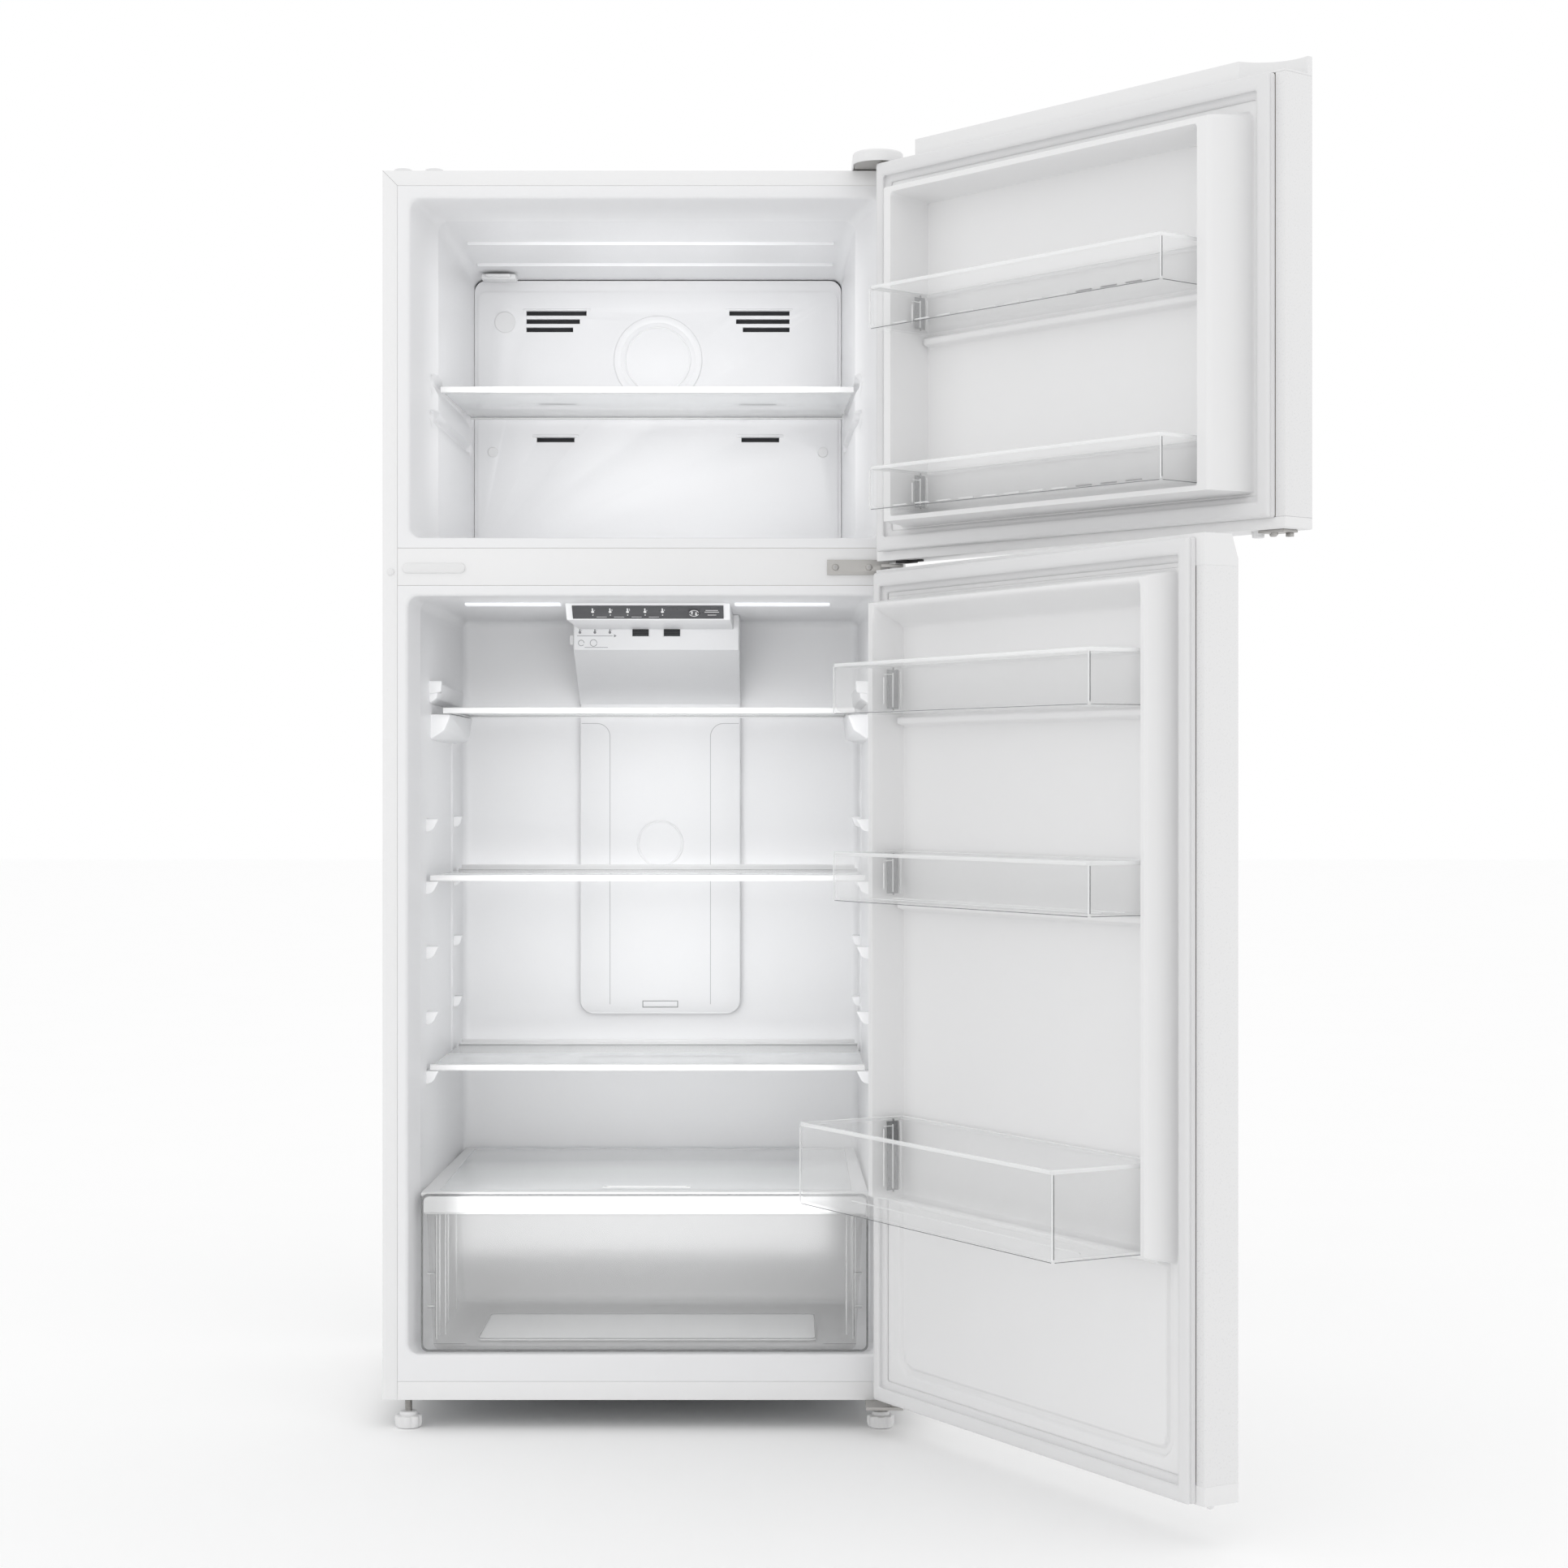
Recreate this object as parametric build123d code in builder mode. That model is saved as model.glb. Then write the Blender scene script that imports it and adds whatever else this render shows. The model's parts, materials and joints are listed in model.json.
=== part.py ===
"""Top freezer refrigerator: cabinet, two hinged doors, shelves, drawer, door bins and works.

Every piece is drawn with both doors shut in cabinet coordinates: X = 0 on the middle plane,
Y = 0 on the front face of the cabinet with +Y towards the back wall, Z = 0 on the floor.
The doors are then turned open about the hinge line. The written frame keeps Z and is moved
along X and Y, so that its origin is under the middle of the box round the open refrigerator.
"""

import os

from build123d import *

os.makedirs("parts", exist_ok=True)

# ---------------------------------------------------------------- driving dimensions (mm)
ORIGIN_X, ORIGIN_Y = 224.5, -30.9

CABINET_HALF = 350.0
CABINET_BACK = 590.0
CABINET_LOW, CABINET_TOP = 39.0, 1684.0
SHEET = 1.2
FLANGE = 20.0
LINER = 2.0
FOAM_LOW, FOAM_TOP = 62.0, CABINET_TOP - SHEET - 0.2
FOAM_SIDE, FOAM_BACK = 318.8, 588.2

PIVOT_X, PIVOT_Y = 336.0, -36.0
FREEZER_OPEN, FRIDGE_OPEN = 130.5, 120.2
DOOR_RIGHT, DOOR_LEFT = 349.0, -347.5
DOOR_OUT, DOOR_IN = -65.0, -13.0
DOOR_EDGE = 7.0
FREEZER_DOOR_Z = (1158.0, 1705.0)
FREEZER_SKIN_Z = (1171.0, 1682.0)
FRIDGE_DOOR_Z = (50.0, 1146.5)
FRIDGE_SKIN_Z = (72.0, 1110.0)
CAP_FLOOR = 1684.5
HINGE_NOTCH = 74.0

MULLION_Z = (1129.0, 1179.0)
RAIL_Z = (39.0, 64.0)

FREEZER_HALF, FREEZER_Z = 314.0, (1193.0, 1647.0)
FREEZER_BACK = 525.0
FRIDGE_HALF, FRIDGE_Z = 316.6, (100.0, 1115.0)
FRIDGE_BACK = 540.0
STEP_FRONT, STEP_TOP = 415.0, 296.0

COVER_Y = 440.0
FAN_Z = 1493.0
SHELF_LEVELS = {"upper": 961.0, "middle": 730.0, "lower": 470.0}
LEDGE_TOPS = (815.5, 729.7, 640.5, 551.0, 469.7)
LEDGE_LENGTH, LEDGE_HEIGHT, LEDGE_INNER = 18.0, 17.0, 285.0
FREEZER_SHELF_Z = 1399.0
CRISPER_FRONT, CRISPER_HALF = 15.0, 300.5
CRISPER_Z = (100.6, 303.2)
DUCT_HALF = 121.5
BIN_WALL = 2.4

FOOT_X, FOOT_Y = 317.0, 16.0
ROLLER_X, ROLLER_Y, ROLLER_R = 285.0, 545.0, 17.0
PIN_R, PIN_FIT, BOSS_R = 5.0, 5.06, 11.5

# ---------------------------------------------------------------- places of the bodies
REST = Location((-ORIGIN_X, -ORIGIN_Y, 0))
HINGE_LINE = Location((PIVOT_X, PIVOT_Y, 0))
FREEZER_SWUNG = REST * HINGE_LINE * Location((0, 0, 0), (0, 0, 1), FREEZER_OPEN) * HINGE_LINE.inverse()
FRIDGE_SWUNG = REST * HINGE_LINE * Location((0, 0, 0), (0, 0, 1), FRIDGE_OPEN) * HINGE_LINE.inverse()


# ---------------------------------------------------------------- shared shapes
def block(x, y, z, mode=Mode.ADD):
    """A rectangular block between the given (low, high) pairs."""
    with Locations(((x[0] + x[1]) / 2, (y[0] + y[1]) / 2, (z[0] + z[1]) / 2)):
        Box(x[1] - x[0], y[1] - y[0], z[1] - z[0], mode=mode)


def both_sides(x, y, z, mode=Mode.ADD):
    """The same block on the right and, mirrored, on the left of the middle plane."""
    block(x, y, z, mode)
    block((-x[1], -x[0]), y, z, mode)


def post(x, y, z, radius, mode=Mode.ADD):
    """An upright cylinder between two heights."""
    with Locations((x, y, (z[0] + z[1]) / 2)):
        Cylinder(radius, z[1] - z[0], mode=mode)


def along_y(x, z, y, radius, mode=Mode.ADD):
    """A cylinder lying along Y between two depths."""
    with Locations(Location((x, (y[0] + y[1]) / 2, z), (90, 0, 0))):
        Cylinder(radius, y[1] - y[0], mode=mode)


def along_x(y, z, x, radius, mode=Mode.ADD):
    """A cylinder lying along X between two places."""
    with Locations(Location(((x[0] + x[1]) / 2, y, z), (0, 90, 0))):
        Cylinder(radius, x[1] - x[0], mode=mode)


def upright_edges(piece, y=None, x=None):
    """Upright edges of a piece that lie at a depth, at a width or both."""
    edges = piece.edges().filter_by(Axis.Z)
    if y is not None:
        edges = edges.filter_by(lambda e: abs(e.center().Y - y) < 0.01)
    if x is not None:
        edges = edges.filter_by(lambda e: abs(e.center().X - x) < 0.01)
    return edges


def lofted(sections, grow, last):
    """A closed body through rounded rectangles (depth, half width, low, high, corner radius)."""
    with BuildPart() as body:
        for index, (y, half, low, high, radius) in enumerate(sections):
            end = last if index == len(sections) - 1 else 0.0
            with BuildSketch(Plane.XZ.offset(-(y + end))):
                with Locations((0, (low + high) / 2)):
                    RectangleRounded(2 * (half + grow), high - low + 2 * grow, radius + grow)
        loft(ruled=True)
    return body.part


def frustum(x_a, z_a, y_a, x_b, z_b, y_b):
    """A four sided tapered block between two upright rectangles, given as (low, high) pairs."""
    with BuildPart() as body:
        for x, z, y in ((x_a, z_a, y_a), (x_b, z_b, y_b)):
            with BuildSketch(Plane.XZ.offset(-y)):
                with Locations(((x[0] + x[1]) / 2, (z[0] + z[1]) / 2)):
                    Rectangle(x[1] - x[0], z[1] - z[0])
        loft(ruled=True)
    return body.part


def write(builder, name, place=REST):
    """Label a finished piece, move it to its place and write it."""
    piece = builder.part.moved(place)
    piece.label = name
    export_step(piece, "parts/" + name + ".step")


# ---------------------------------------------------------------- cabinet body
FREEZER_SECTIONS = (
    (0.0, FREEZER_HALF, FREEZER_Z[0], FREEZER_Z[1], 12.0),
    (75.0, 284.0, FREEZER_Z[0], 1630.0, 14.0),
    (COVER_Y, 273.0, FREEZER_Z[0], 1613.0, 14.0),
    (FREEZER_BACK, 270.5, FREEZER_Z[0], 1610.0, 14.0),
)
FRIDGE_SECTIONS = (
    (0.0, FRIDGE_HALF, FRIDGE_Z[0], FRIDGE_Z[1], 14.0),
    (40.0, 304.0, FRIDGE_Z[0], 1111.5, 14.0),
    (FRIDGE_BACK, 300.0, FRIDGE_Z[0], 1111.5, 14.0),
)

with BuildPart() as outer_shell:
    inner = CABINET_HALF - SHEET
    block((-CABINET_HALF, CABINET_HALF), (0, CABINET_BACK), (CABINET_LOW, CABINET_TOP))
    block((-inner, inner), (SHEET, CABINET_BACK), (CABINET_LOW, CABINET_TOP - SHEET), Mode.SUBTRACT)
    opening = CABINET_HALF - FLANGE
    block((-opening, opening), (0, SHEET), (CABINET_LOW, CABINET_TOP - FLANGE), Mode.SUBTRACT)
write(outer_shell, "outer_shell")

with BuildPart() as back_panel:
    inner = CABINET_HALF - SHEET
    block((-inner, inner), (588.4, CABINET_BACK), (262.0, CABINET_TOP - SHEET))
    for x in (-240, -120, 0, 120, 240):
        block((x - 12, x + 12), (CABINET_BACK, CABINET_BACK + 2), (420.0, 1560.0))
write(back_panel, "back_panel")

with BuildPart() as mullion_rail:
    block((-329.8, 329.8), (0, SHEET), MULLION_Z)
    block((-316, 316), (SHEET, 12), (MULLION_Z[0] + 2, MULLION_Z[1] - 2))
write(mullion_rail, "mullion_rail")

with BuildPart() as bottom_front_rail:
    block((-329.8, 329.8), (0, SHEET), (RAIL_Z[0], RAIL_Z[1] - 0.2))
    block((-329.8, 329.8), (SHEET, 8), (RAIL_Z[0], RAIL_Z[0] + 2))
write(bottom_front_rail, "bottom_front_rail")

with BuildPart() as base_frame:
    inner = CABINET_HALF - SHEET - 0.2
    block((-inner, inner), (8.2, 586), (39.2, 41.2))
    block((-inner, inner), (8.2, 36), (41.2, FOAM_LOW - 0.4))
    block((-300, 300), (10.2, 34), (43.2, FOAM_LOW - 2.4), Mode.SUBTRACT)
    for x in (-FOOT_X, FOOT_X):
        post(x, FOOT_Y, (39.2, FOAM_LOW - 0.4), PIN_FIT, Mode.SUBTRACT)
    for side in (-1, 1):
        for shift in (-14, 14):
            x = side * ROLLER_X + shift
            block((x - 1, x + 1), (ROLLER_Y - 14, ROLLER_Y + 14), (9.0, 39.2))
    for side in (-1, 1):
        along_x(ROLLER_Y, ROLLER_R, (side * ROLLER_X - 17, side * ROLLER_X + 17), 3.06, Mode.SUBTRACT)
write(base_frame, "base_frame")

freezer_outside = lofted(FREEZER_SECTIONS, LINER, LINER)
freezer_inside = lofted(FREEZER_SECTIONS, 0.0, 0.0)
with BuildPart() as freezer_liner:
    block((-329.8, 329.8), (0, LINER), (MULLION_Z[1] + 0.2, CABINET_TOP - FLANGE - 0.2))
    add(freezer_outside)
    add(freezer_inside, mode=Mode.SUBTRACT)
    for y, ceiling in ((200, 1624.2), (335, 1617.9)):
        block((-262, 262), (y - 3, y + 3), (ceiling - 5, ceiling + 1))
    for z in (1352.0, FREEZER_SHELF_Z - 0.3):
        for side in (-1, 1):
            near, far = (75, 284.2), (400, 274.4)
            with BuildSketch(Plane.XY.offset(z - 6)):
                with BuildLine():
                    Polyline(
                        (side * near[1], near[0]),
                        (side * (near[1] - 9), near[0] + 6),
                        (side * (far[1] - 9), far[0]),
                        (side * far[1], far[0]),
                        close=True,
                    )
                make_face()
            extrude(amount=6)
write(freezer_liner, "freezer_liner")

fridge_outside = lofted(FRIDGE_SECTIONS, LINER, LINER)
fridge_inside = lofted(FRIDGE_SECTIONS, 0.0, 0.0)
with BuildPart() as fridge_room:
    add(fridge_inside)
    block((-400, 400), (STEP_FRONT, 700), (0, STEP_TOP), Mode.SUBTRACT)
with BuildPart() as fridge_liner:
    block((-329.8, 329.8), (0, LINER), (RAIL_Z[1], MULLION_Z[0] - 0.2))
    add(fridge_outside)
    block((-400, 400), (STEP_FRONT + LINER, 700), (0, STEP_TOP - LINER), Mode.SUBTRACT)
    add(fridge_room.part, mode=Mode.SUBTRACT)
    for top in LEDGE_TOPS:
        for y, outer in ((100, 304.5), (402, 302.6)):
            both_sides((LEDGE_INNER, outer), (y, y + LEDGE_LENGTH), (top - LEDGE_HEIGHT, top))
    for y, outer in ((150, 304.0), (400, 302.6)):
        both_sides((272, outer), (y, y + 22), (922, SHELF_LEVELS["upper"] - 0.3))
    both_sides((290, 303), (175, 410), (980, 1000))
write(fridge_liner, "fridge_liner")


def side_prism(near, far, z):
    """Upright foam wedges on both sides, between the liner's sloping wall and the outer foam."""
    for side in (-1, 1):
        with BuildSketch(Plane.XY.offset(z[0])) as wedge:
            with BuildLine():
                Polyline(
                    (side * FOAM_SIDE, near[1]),
                    (side * near[0], near[1]),
                    (side * far[0], far[1]),
                    (side * FOAM_SIDE, far[1]),
                    close=True,
                )
            make_face()
        extrude(wedge.sketch, amount=z[1] - z[0])


with BuildPart() as cabinet_insulation:
    across_all = (-FOAM_SIDE, FOAM_SIDE)
    both_sides((319, CABINET_HALF - SHEET - 0.2), (LINER + 0.2, FOAM_BACK), (FOAM_LOW, FOAM_TOP))
    block(across_all, (LINER + 0.2, FOAM_BACK), (1649.4, FOAM_TOP))
    block(across_all, (132, FOAM_BACK), (1630.4, 1649.2))
    block(across_all, (12.2, FOAM_BACK), (1117.2, 1190.8))
    block((-272.0, 272.0), (FREEZER_BACK + LINER + 0.2, FOAM_BACK), (1191.0, 1630.2))
    side_prism((286.4, 79), (272.9, FOAM_BACK), (1191.0, 1630.2))
    side_prism((306.4, 42), (302.6, FOAM_BACK), (98.2, 1117.0))
    block((-301.8, 301.8), (FRIDGE_BACK + LINER + 0.2, FOAM_BACK), (STEP_TOP + 0.2, 1117.0))
    block(across_all, (12.2, STEP_FRONT - 0.2), (FOAM_LOW, 97.8))
    block((-302.2, 302.2), (STEP_FRONT + LINER + 0.2, 446.8), (FOAM_LOW, STEP_TOP - 2.2))
    block((-302.2, 302.2), (447, FOAM_BACK), (262, STEP_TOP - 2.2))
write(cabinet_insulation, "cabinet_insulation")

with BuildPart() as blanking_covers:
    with BuildSketch(Plane.XZ):
        with Locations((-281.5, 1152)):
            SlotOverall(85, 13.7)
    extrude(amount=3)
    fillet(blanking_covers.faces().sort_by(Axis.Y)[0].edges(), 2.2)
    along_y(-339, 1147, (-2.4, 0), 4.8)
    for x in (-326, -284):
        post(x, 30, (CABINET_TOP, CABINET_TOP + 8), 13)
write(blanking_covers, "blanking_covers")

# ---------------------------------------------------------------- hinges
HINGE_PLATE_Z = (CABINET_TOP + 1.2, CABINET_TOP + 4.2)
COVER_MIDDLE = (312, 5)
with BuildPart() as top_hinge:
    with BuildSketch(Plane.XY.offset(HINGE_PLATE_Z[0])):
        with Locations(COVER_MIDDLE):
            SlotCenterToCenter(70, 62, rotation=90)
    extrude(amount=3)
    block((292, 332), (4, 60), (CABINET_TOP, HINGE_PLATE_Z[0]))
    post(PIVOT_X, PIVOT_Y, (1662, HINGE_PLATE_Z[1]), PIN_R)
write(top_hinge, "top_hinge")

with BuildPart() as top_hinge_cover:
    with BuildSketch(Plane.XY.offset(CABINET_TOP + 1)):
        with Locations(COVER_MIDDLE):
            SlotCenterToCenter(70, 67, rotation=90)
    extrude(amount=16)
    fillet(top_hinge_cover.faces().sort_by(Axis.Z)[-1].edges(), 4)
    with BuildSketch(Plane.XY.offset(CABINET_TOP + 1)):
        with Locations(COVER_MIDDLE):
            SlotCenterToCenter(70, 63, rotation=90)
    extrude(amount=13, mode=Mode.SUBTRACT)
    for y in (-20, 30):
        post(COVER_MIDDLE[0], y, (HINGE_PLATE_Z[1], CABINET_TOP + 15), 4)
write(top_hinge_cover, "top_hinge_cover")

with BuildPart() as middle_hinge:
    block((245, 345), (-3, 0), (1143, 1163))
    block((316, 345), (-46, 0), (1150, 1154))
    post(PIVOT_X, PIVOT_Y, (1130, 1178), PIN_R)
    post(PIVOT_X, PIVOT_Y, (1147.2, 1157.2), 8)
write(middle_hinge, "middle_hinge")

with BuildPart() as bottom_hinge:
    block((296, 345), (-48, 62), (35, 39))
    post(FOOT_X, FOOT_Y, (35, 39), 7, Mode.SUBTRACT)
    post(PIVOT_X, PIVOT_Y, (35, 74), PIN_R)
    post(PIVOT_X, PIVOT_Y, (39, 49.2), 8)
write(bottom_hinge, "bottom_hinge")

with BuildPart() as hinge_screws:
    for x in (256, 301):
        along_y(x, 1153, (-6, -3), 4.5)
    for x, y in ((300, 16), (324, 44)):
        post(x, y, (HINGE_PLATE_Z[1], HINGE_PLATE_Z[1] + 3.5), 5)
    for x in (308, 332):
        post(x, 50, (31.5, 35), 5)
write(hinge_screws, "hinge_screws")

# ---------------------------------------------------------------- freezer works
with BuildPart() as evaporator_cover:
    with BuildSketch(Plane.XZ.offset(-(COVER_Y + 7))):
        with Locations((0, (1193.4 + 1611) / 2)):
            RectangleRounded(2 * 272.3, 1611 - 1193.4, 17)
    extrude(amount=5)
    with BuildSketch(Plane.XZ.offset(-(COVER_Y + 2))):
        with Locations((0, (1193.4 + 1594) / 2)):
            RectangleRounded(2 * 267, 1594 - 1193.4, 12)
    extrude(amount=2)
    for side in (-1, 1):
        for index, inner in enumerate((106, 116, 126)):
            top = 1566.0 - 12.2 * index
            x = sorted((side * inner, side * 195.5))
            block(x, (COVER_Y - 1, COVER_Y + 8), (top - 7, top), Mode.SUBTRACT)
        x = sorted((side * 124, side * 180))
        block(x, (COVER_Y - 1, COVER_Y + 8), (1371, 1378), Mode.SUBTRACT)
    along_y(0, FAN_Z, (COVER_Y - 1.5, COVER_Y), 64)
    along_y(-227, 1549, (COVER_Y - 1.2, COVER_Y), 15.7)
    for x in (-245, 245):
        along_y(x, 1356, (COVER_Y - 1.2, COVER_Y), 7.8)
write(evaporator_cover, "evaporator_cover")

with BuildPart() as evaporator_coil:
    for row in range(5):
        for y in (476, 500):
            along_x(y, 1232 + 34 * row, (-236, 236), 4)
    for index in range(-9, 10):
        block((25 * index - 0.7, 25 * index + 0.7), (462, 514), (1214, 1386))
write(evaporator_coil, "evaporator_coil")

with BuildPart() as evaporator_fan_motor:
    block((-80, 80), (521, FREEZER_BACK), (FAN_Z - 45, FAN_Z + 45))
    along_y(0, FAN_Z, (487, 521), 24)
    along_y(0, FAN_Z, (458, 487), 3)
write(evaporator_fan_motor, "evaporator_fan_motor")


def fan_blades(plane, hub, tip, thick, bore, count):
    """A hub with slanted blades round the plane's normal."""
    with BuildPart() as fan:
        with BuildSketch(plane):
            Circle(hub)
        extrude(amount=thick / 2, both=True)
        for index in range(count):
            blade = plane.location * Location((0, 0, 0), (0, 0, 1), 360 / count * index)
            with Locations(blade * Location(((hub + tip) / 2 - 2, 0, 0), (1, 0, 0), 32)):
                Box(tip - hub + 2, hub * 1.5, 1.6)
        with BuildSketch(plane):
            Circle(bore)
        extrude(amount=thick, both=True, mode=Mode.SUBTRACT)
    return fan


evaporator_fan = fan_blades(Plane(origin=(0, 469, FAN_Z), z_dir=(0, 1, 0)), 16, 52, 16, 3.05, 5)
write(evaporator_fan, "evaporator_fan")

# ---------------------------------------------------------------- fresh food works
with BuildPart() as air_duct_cover:
    wall = 2.5
    back = FRIDGE_BACK - 0.2
    with BuildSketch(Plane.YZ):
        with BuildLine():
            Polyline(
                (back, 516), (523, 516), (523, 984), (382, 1060), (382, 1111), (back, 1111), close=True,
            )
        make_face()
    extrude(amount=DUCT_HALF, both=True)
    with BuildSketch(Plane.YZ):
        with BuildLine():
            Polyline(
                (back, 520), (523 + wall, 520), (523 + wall, 986), (382 + wall, 1062),
                (382 + wall, 1111), (back, 1111), close=True,
            )
        make_face()
    extrude(amount=DUCT_HALF - wall, both=True, mode=Mode.SUBTRACT)
    both_sides((11, 35), (380, 386), (1080, 1091), Mode.SUBTRACT)
    block((-124, -118), (391, 399), (1052, 1098), Mode.SUBTRACT)
    both_sides((75.6, 76.4), (522, 523.6), (530, 935), Mode.SUBTRACT)
    along_y(0, 773, (522, 523), 34)
write(air_duct_cover, "air_duct_cover")

PANEL_TOP, PANEL_LOW = (100.0, 1111.3), (130.0, 1090.0)
with BuildPart() as control_box:
    with BuildSketch(Plane.YZ):
        with BuildLine():
            Polyline(PANEL_TOP, PANEL_LOW, (381.6, 1090), (381.6, 1111.3), close=True)
        make_face()
    extrude(amount=113, both=True)
    block((-109, 109), (140, 378), (1093, 1112), Mode.SUBTRACT)
write(control_box, "control_box")

PANEL_PLANE = Plane(
    origin=(0, (PANEL_TOP[0] + PANEL_LOW[0]) / 2, (PANEL_TOP[1] + PANEL_LOW[1]) / 2),
    x_dir=(1, 0, 0),
    z_dir=(0, PANEL_LOW[1] - PANEL_TOP[1], PANEL_TOP[0] - PANEL_LOW[0]),
)
BUTTON_X = 63.4
with BuildPart() as control_panel_face:
    with BuildSketch(PANEL_PLANE):
        Rectangle(208, 27)
        with Locations((BUTTON_X, 0)):
            Circle(8.3, mode=Mode.SUBTRACT)
    extrude(amount=2)
write(control_panel_face, "control_panel_face")

with BuildPart() as fridge_temp_button:
    with BuildSketch(PANEL_PLANE.offset(1.2)):
        with Locations((BUTTON_X, 0)):
            Circle(8)
    extrude(amount=1.8)
write(fridge_temp_button, "fridge_temp_button")

with BuildPart() as lamp_lens:
    both_sides((120, 250), (95, 125), (1108.4, 1111.3))
    fillet(lamp_lens.edges().filter_by(Axis.X).group_by(Axis.Z)[0], 1.5)
write(lamp_lens, "lamp_lens")

with BuildPart() as freezer_temp_slider:
    block((-127, -122), (389, 401), (1068, 1082))
    block((-122, -117), (393, 397), (1072, 1078))
    fillet(freezer_temp_slider.edges().filter_by(Axis.Y).group_by(Axis.X)[0], 2)
write(freezer_temp_slider, "freezer_temp_slider")

# ---------------------------------------------------------------- shelves
PANE_LIFT, PANE_THICK, TRIM_HEIGHT, REAR_TRIM = 2.2, 4.0, 8.4, 8.0


def shelf(name, z, front, back, half_front, half_back, trim):
    """A glass pane between a front and a rear trim bar, written as two pieces."""
    pane_z = (z + PANE_LIFT, z + PANE_LIFT + PANE_THICK)
    rim = front + trim, back - REAR_TRIM

    def half(y):
        return half_front + (half_back - half_front) * (y - front) / (back - front)

    with BuildPart() as pane:
        with BuildSketch(Plane.XY.offset(pane_z[0])):
            with BuildLine():
                Polyline(
                    (half(rim[0]) - 1, rim[0] - 4), (half(rim[1]) - 1, rim[1] + 4),
                    (1 - half(rim[1]), rim[1] + 4), (1 - half(rim[0]), rim[0] - 4), close=True,
                )
            make_face()
        extrude(amount=pane_z[1] - pane_z[0])
    write(pane, name + "_pane")

    with BuildPart() as bars:
        half_f, half_b = half(rim[0]), half(back)
        block((-half_f, half_f), (front, rim[0]), (z, z + TRIM_HEIGHT))
        fillet(bars.edges().filter_by(Axis.X).group_by(Axis.Y)[0], 2.5)
        block((-half_b, half_b), (rim[1], back), (z, z + TRIM_HEIGHT))
        block((-400, 400), (rim[0] - 4.1, rim[1] + 4.1), (pane_z[0] - 0.1, pane_z[1] + 0.1), Mode.SUBTRACT)
    write(bars, name + "_trim")


shelf("freezer_shelf", FREEZER_SHELF_Z, 90, 395, 282.8, 273.2, 10)
shelf("fridge_shelf_upper", SHELF_LEVELS["upper"], 140, 424, 285, 284, 12)
shelf("fridge_shelf_middle", SHELF_LEVELS["middle"], 100, 448, 298, 296.5, 12)
shelf("fridge_shelf_lower", SHELF_LEVELS["lower"], 100, 448, 298, 296.5, 12)

with BuildPart() as crisper_frame:
    with BuildSketch(Plane.XY.offset(304)):
        with BuildLine():
            Polyline((301, 20), (293, 515), (-293, 515), (-301, 20), close=True)
        make_face()
    extrude(amount=10)
    block((-272, 272), (50, 490), (303, 315), Mode.SUBTRACT)
    block((-278.2, 278.2), (43.8, 496.2), (309.9, 315), Mode.SUBTRACT)
write(crisper_frame, "crisper_frame")

with BuildPart() as crisper_pane:
    block((-278, 278), (44, 496), (310, 314))
write(crisper_pane, "crisper_pane")

with BuildPart() as crisper_drawer:
    low = CRISPER_Z[0]
    block((-294, 294), (CRISPER_FRONT, 405), (low, 302))
    fillet(crisper_drawer.edges().filter_by(Axis.Y).group_by(Axis.Z)[0], 6)
    block((-291.5, 291.5), (19, 402.5), (low + 3, 303), Mode.SUBTRACT)
    with BuildSketch(Plane.XZ.offset(-19)):
        with Locations((0, (CRISPER_Z[0] + CRISPER_Z[1]) / 2)):
            RectangleRounded(2 * CRISPER_HALF, CRISPER_Z[1] - CRISPER_Z[0], 9)
    extrude(amount=4)
    block((-231, 231), (82, 272), (low + 2, low + 5))
    for y in (90, 250):
        both_sides((287, 292), (y, y + 5), (low + 2, 296))
write(crisper_drawer, "crisper_drawer")

# ---------------------------------------------------------------- doors
PLATE = 1.5


def across(first, last):
    """X range of a stretch given as distances from the door's hinge side edge."""
    return DOOR_RIGHT - last, DOOR_RIGHT - first


def inward(h):
    """Y of a height above the door's inner face."""
    return DOOR_IN + h


def door_skin(z):
    """Folded steel sheet: outer face, both sides and two inner lips."""
    with BuildPart() as skin:
        block((DOOR_LEFT, DOOR_RIGHT), (DOOR_OUT, DOOR_IN), z)
        fillet(upright_edges(skin, y=DOOR_OUT), DOOR_EDGE)
        block((DOOR_LEFT + 1, DOOR_RIGHT - 1), (-60, DOOR_IN - 1), z, Mode.SUBTRACT)
        block((DOOR_LEFT + DOOR_EDGE, DOOR_RIGHT - DOOR_EDGE), (DOOR_OUT + 1, -59), z, Mode.SUBTRACT)
        block((DOOR_LEFT + 15, DOOR_RIGHT - 8), (DOOR_IN - 2, DOOR_IN), z, Mode.SUBTRACT)
    return skin


def shrunk(door, outline, t):
    """X and Z ranges of one of the door's outlines, drawn in by t all round."""
    first, last = door[outline]
    low, high = door[outline + "_z"]
    return across(first + t, last - t), (low + t, high - t)


def dyke_ring(door, t):
    """The raised walls round the pocket, t inside their finished surface."""
    top = door["height"] - t
    (base_l, base_z), (crest_l, crest_z) = shrunk(door, "base", t), shrunk(door, "crest", t)
    (floor_l, floor_z), (mouth_l, mouth_z) = shrunk(door, "floor", -t), shrunk(door, "mouth", -t)
    outside = frustum(base_l, base_z, inward(-PLATE), crest_l, crest_z, inward(top))
    pocket = frustum(floor_l, floor_z, inward(-PLATE), mouth_l, mouth_z, inward(door["height"] + 2))
    with BuildPart() as ring:
        add(outside)
        add(pocket, mode=Mode.SUBTRACT)
    return ring.part


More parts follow.
